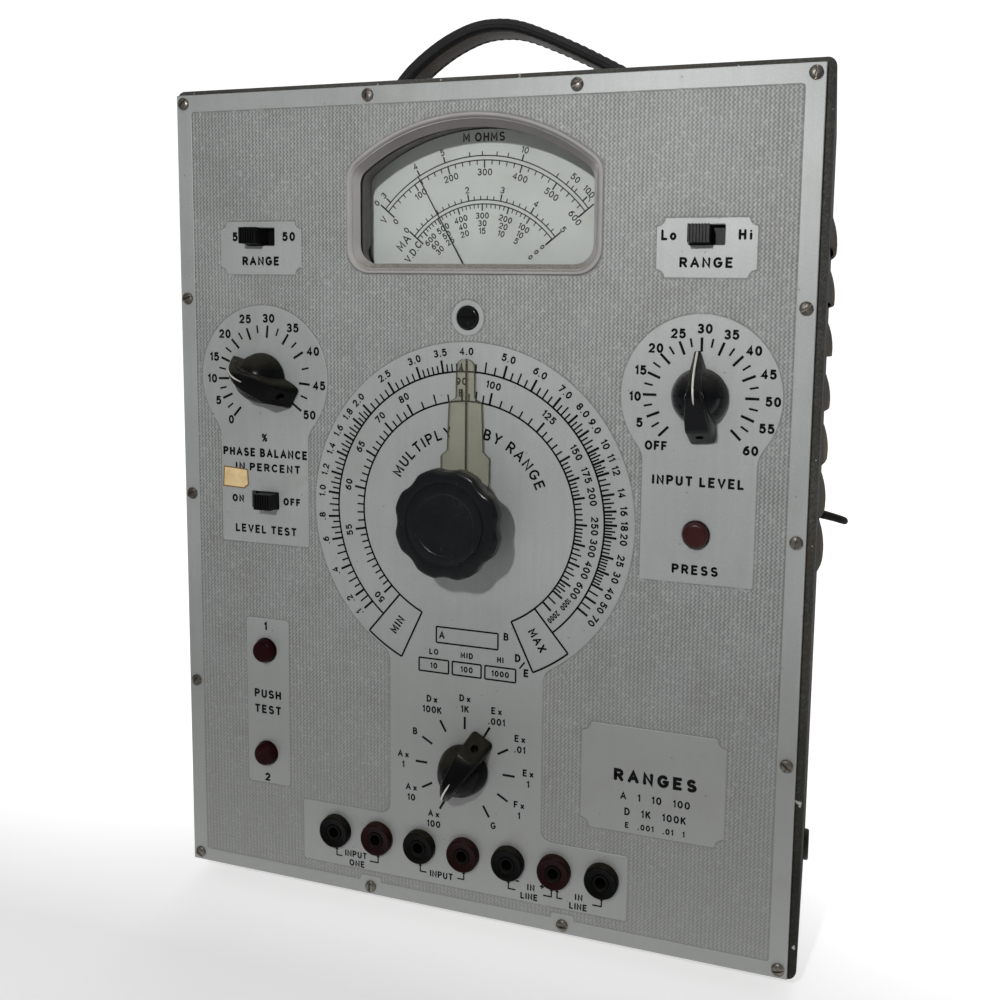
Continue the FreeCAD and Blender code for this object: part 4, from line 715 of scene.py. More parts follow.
# ------------------------------------------------------- panel: smooth fields
LIFT = 0.16          # smooth fields stand this far out of the embossed ground
MAIN = (0.0, 152.4)
LEFT = (-84.1, 199.0)
RIGHT = (84.1, 199.0)
SEL = (0.0, 57.0)
SLOTS = [(-84.6, 252.0), (84.6, 252.0), (-84.15, 152.0)]
BUTTONS = [(84.1, 152.4), (-84.95, 92.4), (-84.95, 50.5)]
JACKS = [(18.0 * (i - 3), 23.8) for i in range(7)]
COLS = (-117.45, -39.2, 39.2, 117.45)
ROWS = (3.2, 76.2, 152.4, 228.6, 301.6)
SCREWS = [(COLS[c], ROWS[r]) for c in range(4) for r in (0, 4)] + [(COLS[c], ROWS[r]) for c in (0, 3) for r in (1, 2, 3)]


def d_box(X, Z, x0, z0, x1, z1, r=0.0):
    qx = np.abs(X - (x0 + x1) / 2) - ((x1 - x0) / 2 - r)
    qz = np.abs(Z - (z0 + z1) / 2) - ((z1 - z0) / 2 - r)
    return np.hypot(np.maximum(qx, 0), np.maximum(qz, 0)) + np.minimum(np.maximum(qx, qz), 0) - r


def d_disc(X, Z, cx, cz, r):
    return np.hypot(X - cx, Z - cz) - r


def d_soft(a, b, k):
    h = np.clip(0.5 + 0.5 * (b - a) / k, 0, 1)
    return b * (1 - h) + a * h - k * h * (1 - h)


def d_plate(X, Z, x0, z0, x1, z1, r):
    d = d_box(X, Z, x0, z0, x1, z1)
    for cx in (x0, x1):
        for cz in (z0, z1):
            d = np.maximum(d, -d_disc(X, Z, cx, cz, r))
    return d


MET_X = 0.6          # the meter's middle


def fan_limits(o):
    return 48.5 - o, 238.6 + o, 74.2 - 1.12 * o


def fan(o, n_b=40, n_c=9, n_s=8, n_k=9, n_a=56):
    """The meter's outline drawn in by o: the same number of points for every o."""
    hw, zb, r = fan_limits(o)
    cz = 220.0
    f = max(9.0 - 0.55 * o, 2.0)
    k = max(8.0 - 0.55 * o, 2.0)
    kz = cz + math.sqrt((r - k) ** 2 - (hw - k) ** 2)
    a0 = math.atan2(kz - cz, hw - k)
    p = []
    for i in range(n_b):
        p.append((-hw + f + (2 * hw - 2 * f) * i / n_b, zb))
    for i in range(n_c):
        a = -PI / 2 + PI / 2 * i / n_c
        p.append((hw - f + f * math.cos(a), zb + f + f * math.sin(a)))
    for i in range(n_s):
        p.append((hw, zb + f + (kz - zb - f) * i / n_s))
    for i in range(n_k):
        a = a0 * i / n_k
        p.append((hw - k + k * math.cos(a), kz + k * math.sin(a)))
    for i in range(n_a + 1):
        a = a0 + (PI - 2 * a0) * i / n_a
        p.append((r * math.cos(a), cz + r * math.sin(a)))
    for i in range(1, n_k + 1):
        a = PI - a0 + a0 * i / n_k
        p.append((-hw + k + k * math.cos(a), kz + k * math.sin(a)))
    for i in range(1, n_s + 1):
        p.append((-hw, kz - (kz - zb - f) * i / n_s))
    for i in range(1, n_c):
        a = PI + PI / 2 * i / n_c
        p.append((-hw + f + f * math.cos(a), zb + f + f * math.sin(a)))
    return np.array(p) + (MET_X, 0.0)


def d_fan(X, Z, o):
    """Roughly the distance outside the meter's outline."""
    hw, zb, r = fan_limits(o)
    return np.maximum(d_box(X - MET_X, Z, -hw, zb, hw, 300.0, 8.0), d_disc(X, Z, MET_X, 220.0, r))


def d_fields(X, Z):
    d = d_soft(d_disc(X, Z, 0.45, 152.4, 62.45), d_box(X, Z, -30.65, 20.0, 30.35, 112.0), 3.0)
    d = d_soft(d, d_box(X, Z, -68.65, 9.6, 63.35, 34.0, 1.0), 5.0)
    for (cx, cz), x0, x1, z0, r in ((LEFT, -103.65, -65.15, 135.0, 27.5), (RIGHT, 64.85, 103.85, 135.5, 27.3)):
        d = np.minimum(d, d_soft(d_disc(X, Z, cx, cz, r), d_box(X, Z, x0, z0, x1, cz, 0.6), 2.5))
    d = np.minimum(d, d_plate(X, Z, -102.15, 238.0, -67.15, 257.5, 2.8))
    d = np.minimum(d, d_plate(X, Z, 67.85, 238.0, 101.35, 257.5, 2.8))
    d = np.minimum(d, d_box(X, Z, -93.65, 38.0, -74.65, 105.0, 1.5))
    d = np.minimum(d, d_plate(X, Z, 45.35, 43.0, 97.35, 82.0, 3.4))
    d = np.minimum(d, d_disc(X, Z, 0.0, 223.4, 6.2))
    for cx in COLS[1:3]:
        d = np.minimum(d, d_box(X, Z, cx - 4.4, 0.0, cx + 4.4, 7.4, 1.0))
    return np.minimum(d, -d_box(X, Z, -114.25, 5.3, 114.25, 298.5, 1.2))


def d_holes(X, Z):
    h = np.full(np.shape(X), 99.0)
    for cx, cz in (MAIN, LEFT, RIGHT, SEL):
        h = np.minimum(h, d_disc(X, Z, cx, cz, 4.95))
    for cx, cz in BUTTONS:
        h = np.minimum(h, d_disc(X, Z, cx, cz, 5.0))
    for cx, cz in JACKS:
        h = np.minimum(h, d_disc(X, Z, cx, cz, 6.1))
    for cx, cz in SCREWS:
        h = np.minimum(h, d_disc(X, Z, cx, cz, 2.0))
    h = np.minimum(h, d_disc(X, Z, 0.0, 223.4, 4.4))
    for cx, cz in SLOTS:
        h = np.minimum(h, d_box(X, Z, cx - 6.1, cz - 3.4, cx + 6.1, cz + 3.4))
    return h


def d_smooth(X, Z):
    """Negative where the panel is smooth."""
    d = np.maximum(d_fields(X, Z), d_box(X, Z, -HALF + 0.1, 0.1, HALF - 0.1, TALL - 0.1))
    return np.maximum(d, -d_holes(X, Z))


def outlines(step=0.4):
    """Closed lines where d_smooth is zero, by marching squares."""
    xs = np.arange(-HALF - 1.03, HALF + 1.2, step)
    zs = np.arange(-1.03, TALL + 1.2, step)
    X, Z = np.meshgrid(xs, zs, indexing="ij")
    F = d_smooth(X, Z)
    F = np.where(np.abs(F) < 1e-6, 1e-6, F)
    inside = F < 0
    nxt = {}

    def cross(i0, j0, i1, j1):
        a, b = F[i0, j0], F[i1, j1]
        t = a / (a - b)
        return (xs[i0] + (xs[i1] - xs[i0]) * t, zs[j0] + (zs[j1] - zs[j0]) * t)

    mixed = np.argwhere((inside[:-1, :-1].astype(int) + inside[1:, :-1] + inside[1:, 1:] + inside[:-1, 1:]) % 4 != 0)
    for i, j in mixed:
        cor = [(i, j), (i + 1, j), (i + 1, j + 1), (i, j + 1)]
        ins = [bool(inside[c]) for c in cor]
        ent, ext = [], []
        for k in range(4):
            a, b = k, (k + 1) % 4
            if ins[a] != ins[b]:
                e = tuple(sorted((cor[a], cor[b])))
                # walking the cell anticlockwise, an edge from inside to outside starts a line
                (ext if ins[a] else ent).append((k, e))
        for k, e in ext:
            best = min(ent, key=lambda q: (k - q[0]) % 4)
            ent.remove(best)
            nxt[e] = best[1]
    loops, left = [], set(nxt)
    while left:
        e = min(left)
        loop = []
        while e in left:
            left.discard(e)
            (a, b) = e
            loop.append(cross(*a, *b))
            e = nxt[e]
        if len(loop) > 8:
            loops.append(np.array(loop))
    return loops


def thin(loop, tol=0.012):
    """Drops points that lie on the straight line between their neighbours."""
    n = len(loop)
    keep = [0]
    i = 0
    while i < n:
        j = i + 1
        while j + 1 <= n and j - i < 60:
            a, b = loop[i], loop[(j + 1) % n]
            seg = b - a
            ln = math.hypot(*seg) or 1e-9
            mid = loop[i + 1:j + 1]
            dist = np.abs((mid[:, 0] - a[0]) * seg[1] - (mid[:, 1] - a[1]) * seg[0]) / ln
            if dist.max() > tol:
                break
            j += 1
        i = j
        if i < n:
            keep.append(i)
    return loop[keep]


def smooth_fields():
    g = Geo()
    pts, edges, spans = [], [], []
    for lp in outlines():
        lp = thin(lp)
        if len(lp) < 4:
            continue
        h = 0.02
        X, Z = lp[:, 0], lp[:, 1]
        gx = d_smooth(X + h, Z) - d_smooth(X - h, Z)
        gz = d_smooth(X, Z + h) - d_smooth(X, Z - h)
        ln = np.maximum(np.hypot(gx, gz), 1e-9)
        inn = np.stack([X - gx / ln * 0.14, Z - gz / ln * 0.14], 1)
        b = len(pts)
        n = len(lp)
        pts += [Vector(p) for p in inn]
        edges += [(b + i, b + (i + 1) % n) for i in range(n)]
        spans.append((lp, inn))
    co, _, faces, _, _, _ = delaunay_2d_cdt(pts, edges, [], 0, 1e-6)
    P = np.array([(p.x, p.y) for p in co])
    T = np.array([f for f in faces if len(f) == 3])
    c = P[T].mean(1)
    T = T[d_smooth(c[:, 0], c[:, 1]) < -0.03]
    a, b, d = P[T[:, 0]], P[T[:, 1]], P[T[:, 2]]
    flip = ((b - a)[:, 0] * (d - a)[:, 1] - (b - a)[:, 1] * (d - a)[:, 0]) < 0
    T[flip] = T[flip][:, ::-1]
    g.add(np.stack([P[:, 0], np.full(len(P), -LIFT), P[:, 1]], 1), [tuple(int(i) for i in t) for t in T], 0)
    for lp, inn in spans:
        n = len(lp)
        v = [(x, -LIFT, z) for x, z in inn] + [(x, -LIFT * 0.3, z) for x, z in lp] + [(x, 0.02, z) for x, z in lp]
        f = []
        for i in range(n):
            j = (i + 1) % n
            f += [(i, j, n + j, n + i), (n + i, n + j, 2 * n + j, 2 * n + i)]
        area = 0.5 * np.sum(lp[:, 0] * np.roll(lp[:, 1], -1) - np.roll(lp[:, 0], -1) * lp[:, 1])
        if area > 0:
            f = [q[::-1] for q in f]
        g.add(v, f, 0)
    return piece("panel_label_fields", g, [M["label"]], "cabinet", fix=False)


def ground():
    """The embossed ground: wavy upright ribs crossed by shallow dents, 1.47 mm apart each way."""
    p = 1.47
    dx, dz = p / 7, p / 4
    xs = np.arange(-114.9, 115.0, dx)
    zs = np.arange(4.7, 299.2, dz)
    X, Z = np.meshgrid(xs, zs, indexing="ij")
    d = np.minimum(d_fields(X, Z), d_fan(X, Z, 0.0))
    wander = 0.05 * np.sin(X / 17.0 + Z / 41.0) + 0.04 * np.sin(Z / 9.0 - X / 23.0)
    wave = 0.23 * np.sin(2 * PI * Z / p)
    rib = (0.5 + 0.5 * np.cos(2 * PI * (X / p - wave + wander))) ** 0.62
    dent = 0.5 + 0.5 * np.cos(2 * PI * (Z / p + 0.25))
    rng = np.random.default_rng(11)
    cell = rng.uniform(0.88, 1.06, (len(xs) // 7 + 2, len(zs) // 4 + 2))
    amp = cell[(np.arange(len(xs)) // 7)[:, None], (np.arange(len(zs)) // 4)[None, :]]
    fade = np.clip((d - 0.02) / 0.6, 0.0, 1.0)
    H = 0.150 * fade * amp * (0.84 * rib + 0.16 * rib * dent)
    keep = (d[:-1, :-1] + d[1:, 1:]) / 2 > -0.45
    ids = np.arange(X.size).reshape(X.shape)
    V = np.stack([X, -0.004 - H, Z], -1).reshape(-1, 3)
    q = np.stack([ids[:-1, :-1], ids[1:, :-1], ids[1:, 1:], ids[:-1, 1:]], -1)
    mid = (X[:-1, :-1] + X[1:, 1:]) / 2
    part = np.digitize(mid, (-92.0, -58.0, 0.0, 58.0, 92.0))
    for k in range(6):
        f = q[keep & (part == k)]
        used, inv = np.unique(f, return_inverse=True)
        g = Geo()
        g.v, g.f, g.n = [V[used]], inv.reshape(-1, 4).tolist(), len(used)
        g.m = [0] * len(g.f)
        piece("panel_ground_%d" % (k + 1), g, [M["ground"]], "cabinet", smooth=180, fix=False)


smooth_fields()
ground()

# --------------------------------------------------------------- panel print
INK0, INK1 = -LIFT - 0.022, -LIFT + 0.01


def pol(c, r, a):
    a = math.radians(a)
    return c[0] + r * math.cos(a), c[1] + r * math.sin(a)


def tick(g, c, r0, r1, a, w, y0=None, y1=None, m=0):
    x0, z0 = pol(c, r0, a)
    x1, z1 = pol(c, r1, a)
    g.bar(x0, z0, x1, z1, w, INK0 if y0 is None else y0, INK1 if y1 is None else y1, m)


def say(g, s, x, z, h, w=0.42, **kw):
    letters(g, s, x, z, h, INK0, w=(1.68 if h >= 3.0 else 1.46) * w, **kw)


def subdivide(marks, divs):
    """Angles of the small marks between numbered ones; the middle one is marked as longer."""
    out = []
    for (v0, a0), (v1, a1), n in zip(marks, marks[1:], divs):
        for k in range(1, n):
            t = k / n
            out.append((a0 + (a1 - a0) * t, n % 2 == 0 and k == n // 2))
    return out


OUTER = [(".1", 223.0), (".2", 217.0), (".4", 205.4), (".6", 193.6), (".8", 184.5), ("1.0", 175.0), ("1.2", 167.0),
         ("1.4", 158.8), ("1.6", 151.5), ("1.8", 144.2), ("2.0", 137.4), ("2.5", 123.7), ("3.0", 110.6), ("3.5", 100.3),
         ("4.0", 90.3), ("5.0", 74.5), ("6.0", 62.2), ("7.0", 51.4), ("8.0", 42.8), ("9.0", 36.1), ("10", 29.1),
         ("11", 24.3), ("12", 19.7), ("14", 12.0), ("16", 5.9), ("18", 0.8), ("20", -3.8), ("25", -11.2), ("30", -17.2),
         ("40", -23.3), ("50", -29.0), ("70", -34.7)]
OUTER_N = [2, 4, 4, 4, 4, 4, 4, 4, 4, 4, 5, 5, 5, 5, 4, 4, 4, 4, 4, 4, 4, 4, 4, 4, 4, 4, 5, 5, 5, 2, 2]
INNER = [("50", 223.8), ("55", 190.7), ("60", 170.2), ("65", 152.0), ("70", 135.5), ("80", 121.0), ("90", 92.6),
         ("100", 77.9), ("125", 50.1), ("150", 31.6), ("175", 21.4), ("200", 12.3), ("250", 0.0), ("300", -9.3),
         ("400", -19.0), ("600", -29.0), ("1000", -36.0), ("2000", -44.0)]
INNER_N = [10, 5, 5, 5, 4, 4, 4, 5, 5, 5, 5, 5, 5, 4, 4, 4, 2]


def print_main(g):
    for r in (52.0, 41.4):
        g.arc(*MAIN, r, 0.66, -49.7, 230.0, INK0, INK1, n=140)
    for s, a in OUTER:
        tick(g, MAIN, 52.0, 56.6, a, 0.84)
        x, z = pol(MAIN, 59.2, a)
        say(g, s, x, z, 2.75, turn=a - 90, w=0.4, gap=0.15)
    for a, longer in subdivide(OUTER, OUTER_N):
        tick(g, MAIN, 52.0, 56.0 if longer else 54.9, a, 0.6)
    for s, a in INNER:
        tick(g, MAIN, 41.4, 45.8, a, 0.80)
        x, z = pol(MAIN, 48.5, a)
        if len(s) > 3:
            x, z = pol(MAIN, 48.0, a - 0.9 if s[0] == "1" else a - 1.0)
            say(g, s, x, z, 2.15, turn=a - 90, w=0.3, gap=0.08, xs=0.72)
        else:
            say(g, s, x, z, 2.75, turn=a - 90, w=0.4, gap=0.15)
    for a, longer in subdivide(INNER, INNER_N):
        tick(g, MAIN, 41.4, 45.2 if longer else 44.2, a, 0.6)
    for a0, a1, s in ((230.0, 245.0, "MIN"), (-64.4, -49.7, "MAX")):
        for a in (a0, a1):
            tick(g, MAIN, 41.4, 61.2, a, 0.7)
        for r in (41.4, 61.2):
            g.arc(*MAIN, r, 0.7, a0, a1, INK0, INK1)
        am = (a0 + a1) / 2
        x, z = pol(MAIN, 51.5, am)
        say(g, s, x, z, 3.3, turn=am - 180 if a0 > 0 else am, w=0.42)
    arc_letters(g, "MULTIPLY", *MAIN, 30.8, 128.0, 4.1, INK0, w=0.74, xs=1.05, gap=0.28)
    arc_letters(g, "BY RANGE", *MAIN, 30.8, 50.0, 4.1, INK0, w=0.74, xs=1.05, gap=0.28)


def print_left(g):
    marks = [("0", 228), ("5", 204.5), ("10", 182), ("15", 158.5), ("20", 134), ("25", 111), ("30", 84), ("35", 57),
             ("40", 31), ("45", -5), ("50", -36)]
    nudge = [(1.1, 1.2), (1.2, 0.6), (0.7, 0.0), (0.2, -1.1), (-0.5, -0.6), (0.7, 0.1), (0.0, -0.9), (0.0, -0.6), (1.2, -1.4), (0.4, 0.1), (0.6, 0.8)]
    for (s, a), (nx, nz) in zip(marks, nudge):
        tick(g, LEFT, 15.4, 20.1, a, 0.9)
        x, z = pol(LEFT, 23.7, a)
        say(g, s, x + nx, z + nz, 3.4, turn=0, w=0.47, gap=0.14)
    for (s0, a0), (s1, a1) in zip(marks, marks[1:]):
        tick(g, LEFT, 17.1, 20.1, (a0 + a1) / 2, 0.68)
    say(g, "%", -84.1, 176.2, 3.3, w=0.34)
    say(g, "PHASE BALANCE", -84.1, 170.3, 3.4, w=0.5, gap=0.18)
    say(g, "IN PERCENT", -82.9, 164.6, 3.2, w=0.46, xs=1.18, gap=0.26)
    say(g, "ON", -96.4, 152.0, 3.0, w=0.46)
    say(g, "OFF", -72.4, 152.0, 3.0, w=0.46)
    say(g, "LEVEL TEST", -84.1, 140.4, 3.3, w=0.46, xs=1.05)


def print_right(g):
    for k in range(25):
        a = 225.0 - 11.25 * k
        tick(g, RIGHT, 14.9 if k % 2 == 0 else 16.6, 19.6, a, 0.9 if k % 2 == 0 else 0.68)
    for k in range(13):
        a = 225.0 - 22.5 * k
        x, z = pol((RIGHT[0] + 0.9, RIGHT[1] - 0.7), 23.2, a)
        say(g, "OFF" if k == 0 else str(5 * k), x + (0.9 if k == 0 else 0.0), z, 3.3, w=0.47, gap=0.14)
    say(g, "INPUT LEVEL", 84.1, 170.4, 3.5, w=0.5, xs=1.05, gap=0.22)
    say(g, "PRESS", 84.1, 140.2, 3.4, w=0.48, xs=1.1, gap=0.26)


def print_switches(g):
    say(g, "5", -95.7, 252.0, 3.4, w=0.5)
    say(g, "50", -72.4, 252.0, 3.4, w=0.5)
    say(g, "RANGE", -84.6, 243.0, 3.4, w=0.5, xs=1.1)
    say(g, "Lo", 71.9, 252.0, 3.6, w=0.5)
    say(g, "Hi", 97.2, 252.0, 3.6, w=0.5, gap=0.3)
    say(g, "RANGE", 84.6, 243.0, 3.5, w=0.5, xs=1.15, gap=0.26)


def print_short(g):
    say(g, "1", -84.95, 102.0, 3.4, w=0.5)
    say(g, "PUSH", -84.4, 74.5, 3.5, w=0.48, xs=1.05)
    say(g, "TEST", -84.4, 68.2, 3.5, w=0.48, xs=1.05)
    say(g, "2", -84.95, 40.4, 3.4, w=0.5)


def print_plate(g):
    """A plain table of ranges on the lower right plate."""
    say(g, "RANGES", 72.4, 64.0, 4.7, w=0.76, xs=1.15, gap=0.3)
    say(g, "A   1   10   100", 72.6, 56.6, 2.8, w=0.4)
    say(g, "D   1K   100K", 72.8, 50.9, 2.8, w=0.4)
    say(g, "E   .001   .01   1", 72.8, 45.9, 2.2, w=0.34)


def frame_box(g, x0, z0, x1, z1, w=0.62):
    g.bar(x0, z0, x1, z0, w, INK0, INK1)
    g.bar(x0, z1, x1, z1, w, INK0, INK1)
    g.bar(x0, z0, x0, z1, w, INK0, INK1)
    g.bar(x1, z0, x1, z1, w, INK0, INK1)


def print_selector(g):
    labels = [(240, "Ax", "100"), (210, "Ax", "10"), (180, "Ax", "1"), (150, "B", ""), (120, "Dx", "100K"),
              (90, "Dx", "1K"), (60, "Ex", ".001"), (30, "Ex", ".01"), (0, "Ex", "1"), (-30, "Fx", "1"), (-60, "G", "")]
    for a, s, t in labels:
        tick(g, SEL, 15.2, 20.0, a, 0.86)
        r = 25.2 if t else 23.4
        if a in (90, 240):
            r = 25.0
        if a == 120:
            r = 26.6
        x, z = pol(SEL, r, a)
        if t:
            say(g, s, x, z + 2.05, 2.7, w=0.4, gap=0.34)
            say(g, t, x, z - 2.05, 2.7, w=0.4, gap=0.15)
        else:
            say(g, s, x, z, 2.7, w=0.4)
    frame_box(g, -11.65, 104.0, 12.85, 110.0)
    for x0, x1, s, t in ((-18.65, -6.65, "LO", "10"), (-5.15, 6.35, "MID", "100"), (7.85, 19.85, "HI", "1000")):
        frame_box(g, x0, 92.5, x1, 97.5)
        say(g, t, (x0 + x1) / 2, 95.0, 2.3, w=0.36, gap=0.16)
        say(g, s, (x0 + x1) / 2, 100.3, 2.3, w=0.36)
    say(g, "A", -9.4, 107.0, 2.9, w=0.42)
    say(g, "B", 16.0, 109.2, 2.9, w=0.42)
    say(g, "D", 20.6, 101.8, 3.0, w=0.42)
    g.bar(21.3, 98.0, 23.3, 100.6, 0.6, INK0, INK1)
    say(g, "E", 23.9, 96.6, 3.0, w=0.42)


def arrow(g, x, z0, z1, w=0.52):
    g.bar(x, z0, x, z1 - 0.7, w, INK0, INK1)
    g.slab([(x - 0.75, z1 - 1.3), (x + 0.75, z1 - 1.3), (x, z1)], INK0, INK1)


def print_jacks(g):
    jx = [j[0] for j in JACKS]
    for a, b, x0, x1 in ((jx[0], jx[1], 2.4, 3.6), (jx[2], jx[3], 2.6, 2.6), (jx[4], jx[5] - 1.1, 2.8, 3.2), (jx[5] + 1.1, jx[6], 2.0, 3.4)):
        arrow(g, a, 13.3, 16.9)
        g.bar(a - 0.2, 13.4, a + x0, 13.4, 0.54, INK0, INK1)
        arrow(g, b, 13.3, 16.9)
        g.bar(b - x1, 13.4, b + 0.2, 13.4, 0.54, INK0, INK1)
    say(g, "INPUT", -45.6, 15.0, 2.7, w=0.4, gap=0.14)
    say(g, "ONE", -45.2, 11.4, 2.7, w=0.4, gap=0.16)
    say(g, "INPUT", -9.2, 13.4, 2.7, w=0.4, gap=0.14)
    say(g, "-", 21.6, 17.0, 2.7, w=0.42)
    say(g, "IN", 26.9, 15.4, 2.6, w=0.4)
    say(g, "+", 31.2, 16.6, 2.7, w=0.42)
    say(g, "LINE", 26.2, 11.8, 2.6, w=0.4, gap=0.14)
    say(g, "IN", 45.4, 15.2, 2.6, w=0.4)
    say(g, "LINE", 45.2, 11.6, 2.6, w=0.4, gap=0.14)


pg = Geo()
print_main(pg)
print_left(pg)
print_right(pg)
print_switches(pg)
print_short(pg)
print_plate(pg)
print_selector(pg)
print_jacks(pg)
piece("panel_print", pg, [M["ink"]], "cabinet", fix=False)

# ------------------------------------------------------------------- tape scrap
tg = Geo()
tape = [(-103.1, 156.3), (-93.4, 155.9), (-91.4, 157.4), (-91.7, 163.6), (-102.6, 164.4)]
tg.slab(tape, -LIFT - 0.07, -LIFT + 0.005, 1)
mid_x, mid_z = -97.2, 160.2
tg.slab([(x + (mid_x - x) * 0.085, z + (mid_z - z) * 0.12) for x, z in tape], -LIFT - 0.10, -LIFT - 0.06)
piece("tape_scrap", tg, [M["tape"], M["tape_edge"]], "cabinet", fix=True)

# ------------------------------------------------------------------- the meter
PIV = (0.0, 229.9)


def meter_bezel():
    g = Geo()
    prof = [(3.9, 2.36), (1.95, 2.36), (1.95, 0.02), (0.0, 0.02), (0.0, -0.2), (0.07, -0.36), (0.2, -0.48), (0.4, -0.56), (0.62, -0.59),
            (0.85, -0.56), (1.08, -0.46), (1.32, -0.28), (1.6, -0.02), (2.2, 0.58), (3.2, 1.62), (3.55, 2.02), (3.8, 2.22)]
    rr = []
    for o, y in prof:
        rr.append([(x, y, z) for x, z in fan(o)])
    g.rings(rr + [rr[0]])
    return piece("meter_bezel_frame", g, [M["bezel"]], "cabinet", smooth=62, stands=["meter_bezel"])


def meter_shroud():
    """The wall between glass and card; it stops short at the bottom, where the needle passes."""
    def ring(o, y, yb):
        return [(x, yb if z < 250 else y, z) for x, z in fan(o)]

    g = Geo()
    a = [ring(3.7, 4.05, 4.05), ring(3.2, 6.2, 5.6), ring(1.55, 12.9, 10.7), ring(1.2, 12.9, 10.7), ring(2.9, 6.0, 5.4), ring(3.3, 4.05, 4.05)]
    g.rings(a + [a[0]])
    return piece("meter_inner_wall", g, [M["shroud"]], "cabinet", smooth=35)


def meter_needle():
    """A thin tapering needle with a ridge along it, its hub and its staff."""
    g = Geo()
    a = math.radians(120.0)
    ca, sa = math.cos(a), math.sin(a)

    def P(u, w, y):
        return (PIV[0] + u * ca - w * sa, y, PIV[1] + u * sa + w * ca)

    rr = []
    for u, hw in ((-9.0, 0.55), (-4.0, 0.5), (3.0, 0.42), (8.0, 0.3), (30.0, 0.22), (NEEDLE - 3.0, 0.17), (NEEDLE, 0.1)):
        rr.append([P(u, hw, 11.42), P(u, 0.0, 11.12), P(u, -hw, 11.42), P(u, -hw * 0.6, 11.58), P(u, hw * 0.6, 11.58)])
    g.rings(rr, 0, True, True, True)
    g.lathe([(0.02, 10.85), (1.7, 10.85), (2.1, 11.05), (2.2, 11.3), (2.2, 13.8), (2.0, 14.0), (0.9, 14.0), (0.9, 16.9), (0.02, 17.0)], *PIV, n=28)
    return piece("meter_needle", g, [M["needle"]], "needle", smooth=35, stands=["meter_pointer"])


C0, C1 = 12.965, 13.01
CARD = (-0.7, 230.9)
NEEDLE = (np.linalg.norm(((np.array(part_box("meter_pointer")[1]) * 1000 - OFF)[2] - PIV[1], (np.array(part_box("meter_pointer")[0]) * 1000 - OFF)[0] - PIV[0]))) - 0.3


def meter_print():
    g = Geo()

    def t(r0, r1, a, w):
        tick(g, CARD, r0, r1, a, 1.35 * w, C0, C1)

    def s(txt, r, a, h, turn=None, w=0.42, **kw):
        x, z = pol(CARD, r, a)
        letters(g, txt, x, z, h, C0, turn=(a - 90) if turn is None else turn, deep=0.04, w=w, **kw)

    for r in (51.7, 50.1, 35.9, 34.4):
        g.arc(*CARD, r, 0.42, 38.6, 140.4, C0, C1, n=80)
    for a in (38.6, 140.4):
        t(46.8, 54.2, a, 0.42)
        t(31.2, 38.6, a, 0.42)
    s("0", 55.9, 140.9, 2.3)
    for txt, a, at in (("3", 136.8, 136.8), ("4", 119.6, 119.6), ("5", 107.2, 107.2), ("10", 73.1, 73.1), ("50", 50.5, None), ("100", 43.3, 42.4)):
        s(txt, 55.6, a, 2.4, gap=0.14)
        if at:
            t(51.7, 54.0, at, 0.4)
    for a in (96.0, 90.5, 84.2, 79.4, 57.0, 51.9, 49.2, 47.4):
        t(51.7, 53.3, a, 0.3)
    g.arc(38.2, 266.6, 1.9, 0.3, -38.0, 62.0, C0, C1, n=10)
    for k in range(7):
        a = 140.4 - 101.8 * k / 6
        t(47.3, 50.1, a, 0.4)
        if 0 < k < 6:
            s(str(100 * k), 45.8, a - (0.2 if k < 4 else 0.8), 2.5, gap=0.14)
    s("0", 45.4, 141.4, 2.3)
    s("600", 45.8, 39.4, 2.5, gap=0.14)
    for k in range(30):
        if k % 5:
            t(48.5, 50.1, 140.4 - 101.8 * k / 30, 0.3)
    s("V", 49.8, 144.4, 2.9)
    for k, txt in ((0, "0"), (2, "2"), (3, "3"), (4, "4"), (5, "5")):
        a = 139.6 - 20.2 * k
        if 0 < k < 5:
            t(35.9, 38.4, a, 0.4)
        s(txt, 39.9, a + (1.4 if k == 0 else 0.2 if k == 5 else 0.0), 2.4)
    for k in range(1, 25):
        if k % 5 or k == 5:
            t(35.9, 37.3, 140.4 - 101.8 * k / 25, 0.3)
    for k, (p, q, r) in enumerate((("600", "60", "30"), ("500", "50", "25"), ("400", "40", "20"), ("300", "30", "15"),
                                   ("200", "20", "10"), ("100", "10", "5"))):
        a = (134.4, 122.0, 107.0, 90.6, 73.0, 58.0)[k]
        t(32.0, 34.4, a, 0.4)
        for j, txt in enumerate((p, q, r)):
            s(txt, 30.2 - 2.75 * j, a, 2.3, gap=0.12)
    for j in range(3):
        s("0", 29.9 - 2.9 * j, 39.0, 1.9)
    t(31.6, 34.4, 38.8, 0.4)
    low = (140.4, 134.4, 122.0, 107.0, 90.6, 73.0, 58.0, 38.8)
    for a0, a1, n in zip(low, low[1:], (2, 5, 5, 6, 6, 5, 4)):
        for k in range(1, n):
            t(32.9, 34.4, a0 + (a1 - a0) * k / n, 0.28)
    s("MA", 38.2, 147.6, 3.5, turn=50.0, w=0.54)
    s("V.D.C", 33.0, 149.0, 2.9, turn=52.0, w=0.5, gap=0.12)
    letters(g, "M OHMS", -0.6, 289.2, 3.3, C0, deep=0.04, gap=0.2, w=0.62)
    return piece("meter_card_print", g, [M["card_ink"]], "cabinet", fix=False)


meter_bezel()
meter_shroud()
meter_print()
meter_needle()

# ---------------------------------------------------------------- panel screws
SLOT_TURN = [-50, 40, 90, 86, -4, 28, 12, 82, 60, 30, 20, -42, 80, 36]


